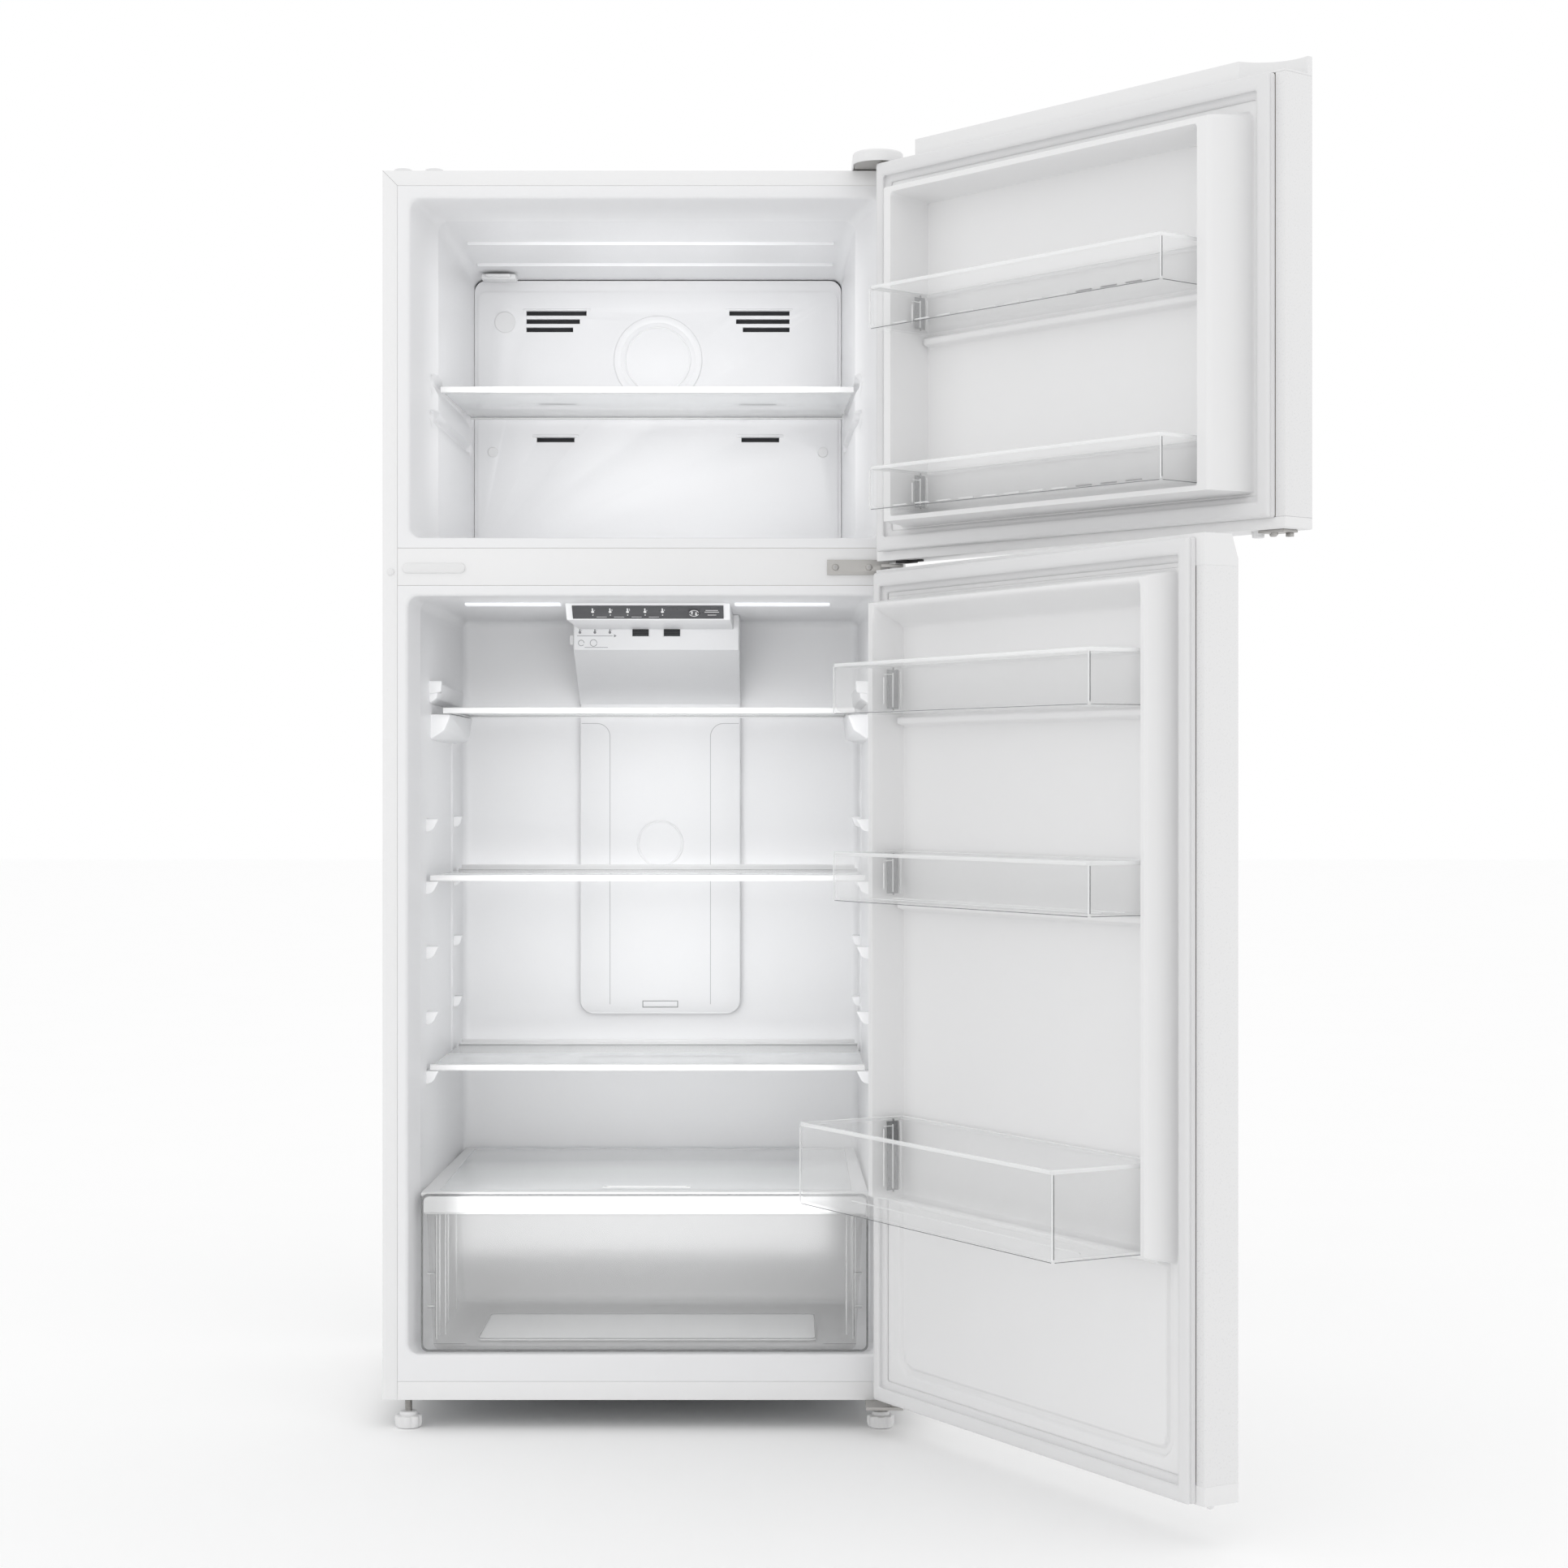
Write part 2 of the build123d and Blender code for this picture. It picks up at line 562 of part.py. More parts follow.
def door_liner(door, plate_z):
    """Inner plastic sheet with hollow raised walls and a resting rib under every bin."""
    shell, core = dyke_ring(door, 0.0), dyke_ring(door, PLATE)
    with BuildPart() as liner:
        block(across(12, 679), (DOOR_IN - PLATE, DOOR_IN), plate_z)
        add(shell)
        add(core, mode=Mode.SUBTRACT)
        for z in door["bin_floors"]:
            rest = across(door["floor"][0] + 2, door["floor"][1] - 2)
            block(rest, (DOOR_IN - 0.5, inward(16)), (z - 12, z - 0.4))
    return liner


def door_foam(door, z):
    """Foam between skin and liner, and in the raised walls."""
    core = dyke_ring(door, PLATE + 0.1)
    with BuildPart() as foam:
        block((DOOR_LEFT + 1.2, DOOR_RIGHT - 1.2), (-59.8, DOOR_IN - PLATE - 0.2), (z[0] + 0.2, z[1] - 0.2))
        block((DOOR_LEFT + 8, DOOR_RIGHT - 8), (DOOR_OUT + 1.2, -59.8), (z[0] + 0.2, z[1] - 0.2))
        add(core)
    return foam


def door_gasket(z):
    """A soft closed frame round the inner face."""
    with BuildPart() as gasket:
        block(across(10.5, 681), (DOOR_IN + 0.2, -0.6), z)
        block(across(31, 652), (DOOR_IN - 1, 1), (z[0] + 27, z[1] - 28), Mode.SUBTRACT)
        fillet(gasket.edges().filter_by(Axis.Y), 3)
    return gasket


def cap_blank(z):
    """The outline of the door between two heights."""
    block((DOOR_LEFT, DOOR_RIGHT), (DOOR_OUT, DOOR_IN), z)


FREEZER_DOOR = {
    "height": 61.0,
    "base": (46.0, 650.0), "base_z": (1199.0, 1644.0),
    "crest": (82.0, 630.0), "crest_z": (1201.0, 1632.0),
    "floor": (99.0, 612.0), "floor_z": (1211.0, 1617.0),
    "mouth": (94.0, 617.0), "mouth_z": (1209.5, 1626.0),
    "bin_floors": (1443.0,),
}
FRIDGE_DOOR = {
    "height": 44.0,
    "base": (45.5, 650.0), "base_z": (315.0, 1108.0),
    "crest": (49.0, 644.0), "crest_z": (325.0, 1100.0),
    "floor": (67.0, 631.0), "floor_z": (200.0, 1066.0),
    "mouth": (62.0, 634.0), "mouth_z": (200.0, 1096.0),
    "bin_floors": (953.0, 713.0, 327.0),
}

freezer_door_skin = door_skin(FREEZER_SKIN_Z)
write(freezer_door_skin, "freezer_door_skin", FREEZER_SWUNG)
fridge_door_skin = door_skin(FRIDGE_SKIN_Z)
write(fridge_door_skin, "fridge_door_skin", FRIDGE_SWUNG)

freezer_door_liner = door_liner(FREEZER_DOOR, (FREEZER_SKIN_Z[0] + 0.2, FREEZER_SKIN_Z[1] - 0.2))
write(freezer_door_liner, "freezer_door_liner", FREEZER_SWUNG)
fridge_door_liner = door_liner(FRIDGE_DOOR, (FRIDGE_SKIN_Z[0] + 0.2, FRIDGE_SKIN_Z[1] - 0.2))
write(fridge_door_liner, "fridge_door_liner", FRIDGE_SWUNG)

freezer_door_foam = door_foam(FREEZER_DOOR, FREEZER_SKIN_Z)
with BuildPart() as freezer_door_insulation:
    add(freezer_door_foam.part)
    post(PIVOT_X, PIVOT_Y, (1655, 1690), BOSS_R + 0.3, Mode.SUBTRACT)
    post(PIVOT_X, PIVOT_Y, (1150, 1184), BOSS_R + 0.3, Mode.SUBTRACT)
write(freezer_door_insulation, "freezer_door_insulation", FREEZER_SWUNG)
fridge_door_foam = door_foam(FRIDGE_DOOR, FRIDGE_SKIN_Z)
with BuildPart() as fridge_door_insulation:
    add(fridge_door_foam.part)
    post(PIVOT_X, PIVOT_Y, (60, 80), BOSS_R + 0.3, Mode.SUBTRACT)
write(fridge_door_insulation, "fridge_door_insulation", FRIDGE_SWUNG)

with BuildPart() as freezer_door_caps:
    cap_blank((FREEZER_SKIN_Z[1], FREEZER_DOOR_Z[1]))
    cap_blank((FREEZER_DOOR_Z[0], FREEZER_SKIN_Z[0]))
    fillet(upright_edges(freezer_door_caps, y=DOOR_OUT), DOOR_EDGE)
    block(across(-1, HINGE_NOTCH), (-70, -10), (CAP_FLOOR, 1710), Mode.SUBTRACT)
    post(DOOR_LEFT + 16, DOOR_IN + 14, (CAP_FLOOR, 1710), 56, Mode.SUBTRACT)
    post(PIVOT_X, PIVOT_Y, (1657, FREEZER_SKIN_Z[1]), BOSS_R)
    post(PIVOT_X, PIVOT_Y, (FREEZER_SKIN_Z[0], 1182), BOSS_R)
    post(PIVOT_X, PIVOT_Y, (1660, 1710), PIN_FIT, Mode.SUBTRACT)
    post(PIVOT_X, PIVOT_Y, (1150, 1180), PIN_FIT, Mode.SUBTRACT)
write(freezer_door_caps, "freezer_door_caps", FREEZER_SWUNG)

with BuildPart() as fridge_door_caps:
    cap_blank((FRIDGE_SKIN_Z[1], FRIDGE_DOOR_Z[1]))
    cap_blank((FRIDGE_DOOR_Z[0], FRIDGE_SKIN_Z[0]))
    fillet(upright_edges(fridge_door_caps, y=DOOR_OUT), DOOR_EDGE)
    with BuildSketch(Plane.YZ):
        with BuildLine():
            Polyline((-66, 1116), (-60, 1122), (-52, 1147), (-66, 1147), close=True)
        make_face()
    extrude(amount=400, both=True, mode=Mode.SUBTRACT)
    post(PIVOT_X, PIVOT_Y, (FRIDGE_SKIN_Z[0], 77), BOSS_R)
    post(PIVOT_X, PIVOT_Y, (1126, 1150), PIN_FIT, Mode.SUBTRACT)
    post(PIVOT_X, PIVOT_Y, (45, 75.5), PIN_FIT, Mode.SUBTRACT)
write(fridge_door_caps, "fridge_door_caps", FRIDGE_SWUNG)

freezer_door_gasket = door_gasket((1170.0, 1682.0))
write(freezer_door_gasket, "freezer_door_gasket", FREEZER_SWUNG)
fridge_door_gasket = door_gasket((50.4, 1142.0))
write(fridge_door_gasket, "fridge_door_gasket", FRIDGE_SWUNG)


def door_bin(x, depth, z):
    """An open topped clear bin with rounded lower front edge and a rolled rim."""
    back, front = DOOR_IN + 4, DOOR_IN + depth
    with BuildPart() as bin_body:
        block(x, (back, front), z)
        fillet(bin_body.edges().filter_by(Axis.Z).group_by(Axis.Y)[-1], 8)
        fillet(bin_body.edges().group_by(Axis.Z)[0], 4)
        inner_x = x[0] + BIN_WALL, x[1] - BIN_WALL
        block(inner_x, (back + BIN_WALL, front - BIN_WALL), (z[0] + BIN_WALL, z[1] + 1), Mode.SUBTRACT)
    return bin_body


FREEZER_BIN_X = across(103, 602)
FRIDGE_BIN_X = across(71, 627)
BINS = {
    "freezer_bin_upper": (FREEZER_BIN_X, 107.0, (1443.0, 1498.0), FREEZER_SWUNG),
    "freezer_bin_lower": (FREEZER_BIN_X, 107.0, (1212.6, 1268.0), FREEZER_SWUNG),
    "fridge_bin_upper": (FRIDGE_BIN_X, 110.0, (953.0, 1018.0), FRIDGE_SWUNG),
    "fridge_bin_middle": (FRIDGE_BIN_X, 110.0, (713.0, 776.0), FRIDGE_SWUNG),
    "fridge_bin_lower": (FRIDGE_BIN_X, 160.0, (327.0, 431.0), FRIDGE_SWUNG),
}
for name, (x, depth, z, place) in BINS.items():
    write(door_bin(x, depth, z), name, place)

# ---------------------------------------------------------------- machine compartment
COMPRESSOR_X, COMPRESSOR_Y = -205.0, 517.0
with BuildPart() as compressor:
    with BuildSketch(Plane.XZ.offset(-COMPRESSOR_Y)):
        with BuildLine():
            Polyline(
                (COMPRESSOR_X, 58), (COMPRESSOR_X + 52, 58), (COMPRESSOR_X + 62, 78),
                (COMPRESSOR_X + 62, 150), (COMPRESSOR_X + 46, 182), (COMPRESSOR_X + 20, 196),
                (COMPRESSOR_X, 196), close=True,
            )
        make_face()
    revolve(axis=Axis((COMPRESSOR_X, COMPRESSOR_Y, 0), (0, 0, 1)))
    block((COMPRESSOR_X - 85, COMPRESSOR_X + 85), (COMPRESSOR_Y - 50, COMPRESSOR_Y + 50), (56, 59))
    for x in (-72, 72):
        for y in (-36, 36):
            post(COMPRESSOR_X + x, COMPRESSOR_Y + y, (41.2, 56), 10)
write(compressor, "compressor")

with BuildPart() as drain_pan:
    x = COMPRESSOR_X - 95, COMPRESSOR_X + 95
    block(x, (458, 578), (206, 236))
    block((x[0] + 2, x[1] - 2), (460, 576), (208, 237), Mode.SUBTRACT)
    post(COMPRESSOR_X, COMPRESSOR_Y, (196, 206), 18)
write(drain_pan, "drain_pan")

CONDENSER_FAN_Y, CONDENSER_FAN_Z = 518.0, 150.0
with BuildPart() as condenser_fan_motor:
    block((-62, -58), (452, 584), (41.2, 236))
    along_x(CONDENSER_FAN_Y, CONDENSER_FAN_Z, (-63, -57), 58, Mode.SUBTRACT)
    along_x(CONDENSER_FAN_Y, CONDENSER_FAN_Z, (-44, -14), 22)
    along_x(CONDENSER_FAN_Y, CONDENSER_FAN_Z, (-70, -14), 3)
    strut_z = (CONDENSER_FAN_Z - 3, CONDENSER_FAN_Z + 3)
    block((-42, -38), (CONDENSER_FAN_Y - 64, CONDENSER_FAN_Y + 64), strut_z)
    block((-58, -38), (CONDENSER_FAN_Y - 64, CONDENSER_FAN_Y - 59), strut_z)
    block((-58, -38), (CONDENSER_FAN_Y + 59, CONDENSER_FAN_Y + 64), strut_z)
write(condenser_fan_motor, "condenser_fan_motor")

condenser_fan = fan_blades(
    Plane(origin=(-60, CONDENSER_FAN_Y, CONDENSER_FAN_Z), z_dir=(1, 0, 0)), 15, 55, 16, 3.05, 5
)
write(condenser_fan, "condenser_fan")

with BuildPart() as condenser_coil:
    for row in range(5):
        for y in (480, 518, 556):
            along_x(y, 70 + 36 * row, (28, 232), 3.2)
    for index in range(10):
        x = 40 + 20 * index
        block((x - 0.7, x + 0.7), (462, 574), (41.2, 232))
write(condenser_coil, "condenser_coil")

with BuildPart() as rear_cover:
    block((-345, 345), (588.4, 590), (45, 258))
    with Locations((-205, 589.2, 150), (120, 589.2, 150)):
        with GridLocations(22, 1, 9, 1):
            Box(9, 6, 150, mode=Mode.SUBTRACT)
    along_y(290, 120, (587, 592), 8.2, Mode.SUBTRACT)
write(rear_cover, "rear_cover")

GLAND_X, GLAND_Z = 290.0, 120.0
with BuildPart() as power_inlet:
    along_y(GLAND_X, GLAND_Z, (580, 594), 8)
    along_y(GLAND_X, GLAND_Z, (590.1, 594), 12)
    along_y(GLAND_X, GLAND_Z, (584, 588.2), 10)
    along_y(GLAND_X, GLAND_Z, (579, 596), 4.5, Mode.SUBTRACT)
write(power_inlet, "power_inlet")

# ---------------------------------------------------------------- feet and rollers


def foot(x):
    """A lobed knob with a flat sole, a collar and a threaded stud."""
    with BuildPart() as body:
        with BuildSketch():
            with Locations((x, FOOT_Y)):
                Circle(16.5)
                with PolarLocations(15.5, 8):
                    Circle(3.2)
        extrude(amount=17)
        chamfer(body.faces().sort_by(Axis.Z)[0].edges(), 0.8)
        post(x, FOOT_Y, (17, 22), 12)
        post(x, FOOT_Y, (22, 58), PIN_R)
    return body


write(foot(-FOOT_X), "left_foot")
write(foot(FOOT_X), "right_foot")

with BuildPart() as rear_rollers:
    for side in (-1, 1):
        x = side * ROLLER_X
        along_x(ROLLER_Y, ROLLER_R, (x - 10, x + 10), ROLLER_R)
        along_x(ROLLER_Y, ROLLER_R, (x - 16, x + 16), 3)
    fillet(rear_rollers.edges().filter_by(GeomType.CIRCLE).group_by(SortBy.RADIUS)[-1], 1.5)
write(rear_rollers, "rear_rollers")
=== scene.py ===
import json
import math

import bmesh
import bpy
from mathutils import Matrix, Vector


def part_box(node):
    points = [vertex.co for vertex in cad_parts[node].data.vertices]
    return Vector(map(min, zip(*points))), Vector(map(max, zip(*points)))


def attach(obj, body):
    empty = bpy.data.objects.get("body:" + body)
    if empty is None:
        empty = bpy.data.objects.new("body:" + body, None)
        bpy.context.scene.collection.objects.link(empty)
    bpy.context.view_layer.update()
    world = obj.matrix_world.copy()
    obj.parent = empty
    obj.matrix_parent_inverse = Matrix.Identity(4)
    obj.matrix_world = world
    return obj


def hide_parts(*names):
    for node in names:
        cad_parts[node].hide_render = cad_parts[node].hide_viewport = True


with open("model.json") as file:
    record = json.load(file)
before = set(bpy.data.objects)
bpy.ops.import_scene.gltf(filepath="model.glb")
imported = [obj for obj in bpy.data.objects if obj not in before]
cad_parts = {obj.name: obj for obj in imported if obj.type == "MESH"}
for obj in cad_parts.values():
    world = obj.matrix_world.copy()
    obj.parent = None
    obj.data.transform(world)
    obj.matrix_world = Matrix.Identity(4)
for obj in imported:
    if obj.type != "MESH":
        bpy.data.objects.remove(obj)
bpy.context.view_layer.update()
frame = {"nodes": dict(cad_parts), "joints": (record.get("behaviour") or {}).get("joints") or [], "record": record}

# The visual model of a top freezer refrigerator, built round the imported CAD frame. Lengths are
# millimetres in cabinet coordinates: X = 0 on the cabinet's middle plane, Y = 0 on its front face
# with +Y to the back, Z = 0 on the floor. Door pieces are made shut and turned open about the
# hinge line.
NODES = frame["nodes"]
JOINTS = {joint["name"]: joint for joint in frame["joints"]}
BODIES = frame["record"]["behaviour"]["bodies"]
BODY_OF = {node: body for body, members in BODIES.items() for node in members}
SLOT_OF = {part["node"]: part["material_slot"] for part in frame["record"]["subparts"]}

MM = 0.001
shell_low, shell_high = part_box("outer_shell")
ORIGIN = Vector(((shell_low.x + shell_high.x) / 2, shell_low.y, 0.0))
PIVOT = Vector(JOINTS["freezer_door_hinge"]["pos_m"])
DOOR_LEFT, DOOR_RIGHT, DOOR_IN = -347.5, 349.0, -13.0
FLANGE_HALF = 329.8
SHELVES = ("freezer_shelf", "fridge_shelf_upper", "fridge_shelf_middle", "fridge_shelf_lower")


# ------------------------------------------------------------------ places
def at(x, y, z):
    """Frame position of a point in cabinet millimetres."""
    return ORIGIN + Vector((x, y, z)) * MM


def cabinet(point):
    return at(*point)


def swung(joint_name):
    """Mapping that opens a door from shut, by the joint's lower limit."""
    angle = math.radians(-JOINTS[joint_name]["range_deg"][0])
    turn = Matrix.Translation(PIVOT) @ Matrix.Rotation(angle, 4, "Z") @ Matrix.Translation(-PIVOT)

    def place(point):
        return turn @ at(*point)

    return place


BINS = {"freezer_door": ("freezer_bin_upper", "freezer_bin_lower"),
        "fridge_door": ("fridge_bin_upper", "fridge_bin_middle", "fridge_bin_lower")}
PLACES = {body: swung(door + "_hinge") for door, bins in BINS.items() for body in (door, *bins)}


def place_of(body):
    """Where a body's pieces go: with their door, or straight in the cabinet."""
    return PLACES.get(body, cabinet)


def step(t):
    """Smooth 0 to 1 ramp."""
    t = min(max(t, 0.0), 1.0)
    return t * t * (3 - 2 * t)


def bump(t, low, high, edge):
    """1 between low and high, falling smoothly to 0 over a short edge on both sides."""
    return step((t - low) / edge + 0.5) * step((high - t) / edge + 0.5)


def stops(low, high, spacing, edges=(), reach=(-3, -1.5, 0, 1.5, 3)):
    """Stations between two ends, closer together round the given edges."""
    count = max(1, round((high - low) / spacing))
    values = {round(low + (high - low) * i / count, 3) for i in range(count + 1)}
    for edge in edges:
        for away in reach:
            if low < edge + away < high:
                values.add(round(edge + away, 3))
    ordered = sorted(values)
    kept = [ordered[0]]
    for value in ordered[1:]:
        if value - kept[-1] > 0.4:
            kept.append(value)
    kept[-1] = high
    return kept


# ------------------------------------------------------------------ materials
MATERIALS = {}


def shader(name, color, roughness, metallic=0.0, specular=0.5):
    """A new material, kept in MATERIALS under its name."""
    material = bpy.data.materials.new(name)
    MATERIALS[name] = material
    material.use_nodes = True
    principled = material.node_tree.nodes["Principled BSDF"]
    principled.inputs["Base Color"].default_value = (*color, 1)
    principled.inputs["Roughness"].default_value = roughness
    principled.inputs["Metallic"].default_value = metallic
    principled.inputs["Specular IOR Level"].default_value = specular
    return material.node_tree, principled


def noise(tree, scale, detail, stretch=(1, 1, 1)):
    """A noise texture over the object's own coordinates."""
    coords = tree.nodes.new("ShaderNodeTexCoord")
    mapping = tree.nodes.new("ShaderNodeMapping")
    mapping.inputs["Scale"].default_value = stretch
    texture = tree.nodes.new("ShaderNodeTexNoise")
    texture.inputs["Scale"].default_value = scale
    texture.inputs["Detail"].default_value = detail
    tree.links.new(coords.outputs["Object"], mapping.inputs["Vector"])
    tree.links.new(mapping.outputs["Vector"], texture.inputs["Vector"])
    return texture


def ramp(tree, source, low, high, start=0.3, end=0.7):
    """Colour ramp between two colours or grey values."""
    node = tree.nodes.new("ShaderNodeValToRGB")
    node.color_ramp.elements[0].position = start
    node.color_ramp.elements[1].position = end
    for element, value in zip(node.color_ramp.elements, (low, high)):
        element.color = (value, value, value, 1) if isinstance(value, float) else (*value, 1)
    tree.links.new(source, node.inputs["Fac"])
    return node


def relief(tree, principled, source, strength, distance):
    node = tree.nodes.new("ShaderNodeBump")
    node.inputs["Strength"].default_value = strength
    node.inputs["Distance"].default_value = distance
    tree.links.new(source, node.inputs["Height"])
    tree.links.new(node.outputs["Normal"], principled.inputs["Normal"])


def varied(name, color, roughness, grain, depth, metallic=0.0, spread=0.03, rough_spread=0.05,
           stretch=(1, 1, 1), specular=0.5):
    """A surface with fine grain, faint broad colour variation and uneven gloss."""
    tree, principled = shader(name, color, roughness, metallic, specular)
    broad = noise(tree, 3.0, 3.0)
    darker = tuple(max(0.0, c * (1 - spread)) for c in color)
    lighter = tuple(min(1.0, c * (1 + spread * 0.4)) for c in color)
    tint = ramp(tree, broad.outputs["Fac"], darker, lighter)
    tree.links.new(tint.outputs["Color"], principled.inputs["Base Color"])
    fine = noise(tree, grain, 4.0, stretch)
    gloss = ramp(tree, fine.outputs["Fac"], max(0.02, roughness - rough_spread), roughness + rough_spread)
    tree.links.new(gloss.outputs["Color"], principled.inputs["Roughness"])
    relief(tree, principled, fine.outputs["Fac"], 0.25, depth)


def clear(name, color, alpha, roughness):
    """Clear moulded plastic or glass seen as a tinted film, denser where it is seen edge on."""
    tree, principled = shader(name, color, roughness, 0.0, 0.6)
    facing = tree.nodes.new("ShaderNodeLayerWeight")
    facing.inputs["Blend"].default_value = 0.35
    density = ramp(tree, facing.outputs["Facing"], alpha, min(1.0, alpha * 2.6), 0.15, 0.95)
    tree.links.new(density.outputs["Color"], principled.inputs["Alpha"])
    fine = noise(tree, 9.0, 2.0)
    relief(tree, principled, fine.outputs["Fac"], 0.05, 0.002)


def glowing(name, color, strength):
    tree, principled = shader(name, color, 0.4)
    principled.inputs["Emission Color"].default_value = (*color, 1)
    principled.inputs["Emission Strength"].default_value = strength
    fine = noise(tree, 120.0, 2.0)
    relief(tree, principled, fine.outputs["Fac"], 0.1, 0.0005)


varied("cabinet_paint", (0.86, 0.86, 0.863), 0.32, 420.0, 0.00008, spread=0.012)
varied("door_paint", (0.79, 0.79, 0.793), 0.30, 420.0, 0.00008, spread=0.012)
varied("galvanised", (0.58, 0.59, 0.60), 0.42, 60.0, 0.0001, metallic=0.9, spread=0.09, rough_spread=0.10)
varied("liner_plastic", (0.86, 0.862, 0.872), 0.34, 260.0, 0.00006, spread=0.01)
varied("door_liner_plastic", (0.82, 0.82, 0.823), 0.34, 260.0, 0.00006, spread=0.01)
varied("trim_plastic", (0.81, 0.81, 0.813), 0.45, 700.0, 0.0001, spread=0.015)
varied("foam", (0.80, 0.70, 0.45), 0.9, 180.0, 0.0015, spread=0.12)
varied("gasket_rubber", (0.76, 0.76, 0.765), 0.6, 500.0, 0.00012, spread=0.02)
clear("shelf_glass", (0.90, 0.915, 0.92), 0.36, 0.06)
clear("clear_plastic", (0.97, 0.975, 0.98), 0.10, 0.06)
clear("clear_edge", (0.97, 0.975, 0.98), 0.6, 0.12)
# Dark lines along clear plastic edges: painted shade where the clear edges look dark, not a colour of the plastic.
clear("clear_shade_line", (0.22, 0.225, 0.23), 0.62, 0.15)
varied("hinge_steel", (0.47, 0.46, 0.445), 0.38, 90.0, 0.00008, metallic=0.85, spread=0.06,
       stretch=(1, 8, 8))
varied("dark_panel", (0.075, 0.075, 0.08), 0.32, 300.0, 0.00005, spread=0.05)
glowing("lamp_lens", (0.95, 0.96, 1.0), 0.3)
varied("black_paint", (0.02, 0.02, 0.022), 0.38, 140.0, 0.0002, spread=0.2)
varied("fin_aluminium", (0.72, 0.73, 0.74), 0.34, 200.0, 0.0001, metallic=1.0, spread=0.08,
       stretch=(1, 1, 12))
varied("fan_plastic", (0.035, 0.035, 0.038), 0.5, 300.0, 0.0001, spread=0.1)
# Painted shade: a near black for the dark blocks placed behind slots and windows.
varied("dark_void", (0.02, 0.021, 0.024), 0.7, 100.0, 0.0001, spread=0.2)
varied("print_white", (0.78, 0.78, 0.78), 0.5, 400.0, 0.00004, spread=0.02)
# Grey print, also used as painted shade in the freezer bins' floor slots.
varied("print_and_slot_shade_grey", (0.30, 0.30, 0.31), 0.5, 400.0, 0.00004, spread=0.05)
varied("seam_shadow", (0.42, 0.42, 0.425), 0.7, 200.0, 0.00004, spread=0.05)
varied("copper", (0.62, 0.30, 0.18), 0.34, 120.0, 0.0001, metallic=1.0, spread=0.15)
varied("black_rubber", (0.025, 0.025, 0.025), 0.75, 260.0, 0.0002, spread=0.1)
varied("studio_pale", (0.98, 0.98, 0.98), 0.9, 3.0, 0.0001, spread=0.003)


# ------------------------------------------------------------------ piece making
def finish_piece(name, mesh, body, material, replaced=(), smooth_angle=32):
    """Link a mesh as a piece that rides on a body, with its material and slot."""
    piece = bpy.data.objects.new(name, mesh)
    bpy.context.scene.collection.objects.link(piece)
    mesh.materials.clear()
    mesh.materials.append(MATERIALS[material])
    mesh.shade_smooth()
    mesh.set_sharp_from_angle(angle=math.radians(smooth_angle))
    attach(piece, body)
    if replaced:
        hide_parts(*replaced)
    return piece


def from_faces(name, solid, body, material, replaced=(), smooth_angle=32):
    """A piece from (points, faces) in cabinet millimetres."""
    points, faces = solid
    place = place_of(body)
    mesh = bpy.data.meshes.new(name)
    mesh.from_pydata([place(point) for point in points], [], faces)
    shape = bmesh.new()
    shape.from_mesh(mesh)
    bmesh.ops.dissolve_degenerate(shape, dist=1e-6, edges=shape.edges)
    bmesh.ops.recalc_face_normals(shape, faces=shape.faces)
    shape.to_mesh(mesh)
    shape.free()
    return finish_piece(name, mesh, body, material, replaced, smooth_angle)


def merged_copy(node):
    """A copy of a CAD node's mesh, with the triangles of each flat face merged."""
    mesh = NODES[node].data.copy()
    shape = bmesh.new()
    shape.from_mesh(mesh)
    bmesh.ops.remove_doubles(shape, verts=shape.verts, dist=1e-6)
    bmesh.ops.dissolve_limit(shape, angle_limit=math.radians(0.6), verts=shape.verts, edges=shape.edges)
    return mesh, shape


def refined(node, width, material=None, segments=2):
    """A copy of a CAD node with its sharp edges rounded."""
    mesh, shape = merged_copy(node)
    sharp = [
        edge for edge in shape.edges
        if len(edge.link_faces) == 2 and edge.calc_face_angle(0.0) > math.radians(35)
        and edge.calc_length() > 0.8 * width * MM
    ]
    bmesh.ops.bevel(shape, geom=sharp, offset=width * MM, offset_type="OFFSET", segments=segments,
                    profile=0.6, affect="EDGES", clamp_overlap=True)
    bmesh.ops.dissolve_degenerate(shape, dist=1e-6, edges=shape.edges)
    shape.to_mesh(mesh)
    shape.free()
    return finish_piece(node + "_finish", mesh, BODY_OF[node], material or SLOT_OF[node], (node,))


def drawn_in(node, inset):
    """A copy of a CAD node whose faces all lie an inset deeper, so that pressed liners clear it."""
    mesh, shape = merged_copy(node)
    shape.normal_update()
    shifts = {}
    for vert in shape.verts:
        sides = []
        for face in vert.link_faces:
            if all(face.normal.dot(side) < 0.98 for side in sides):
                sides.append(face.normal.copy())
        shifts[vert] = sum(sides, Vector()) * inset * MM
    for vert, shift in shifts.items():
        vert.co -= shift
    shape.to_mesh(mesh)
    shape.free()
    return finish_piece(node + "_finish", mesh, BODY_OF[node], SLOT_OF[node], (node,))


def joined(name, body, shapes):
    """One mesh of several shapes made in cabinet millimetres."""
    place = place_of(body)
    mesh = bpy.data.meshes.new(name)
    whole = bmesh.new()
    for shape in shapes:
        bmesh.ops.recalc_face_normals(shape, faces=shape.faces)
        for vert in shape.verts:
            vert.co = place(vert.co)
        part = bpy.data.meshes.new("part")
        shape.to_mesh(part)
        shape.free()
        whole.from_mesh(part)
        bpy.data.meshes.remove(part)
    whole.to_mesh(mesh)
    whole.free()
    return mesh


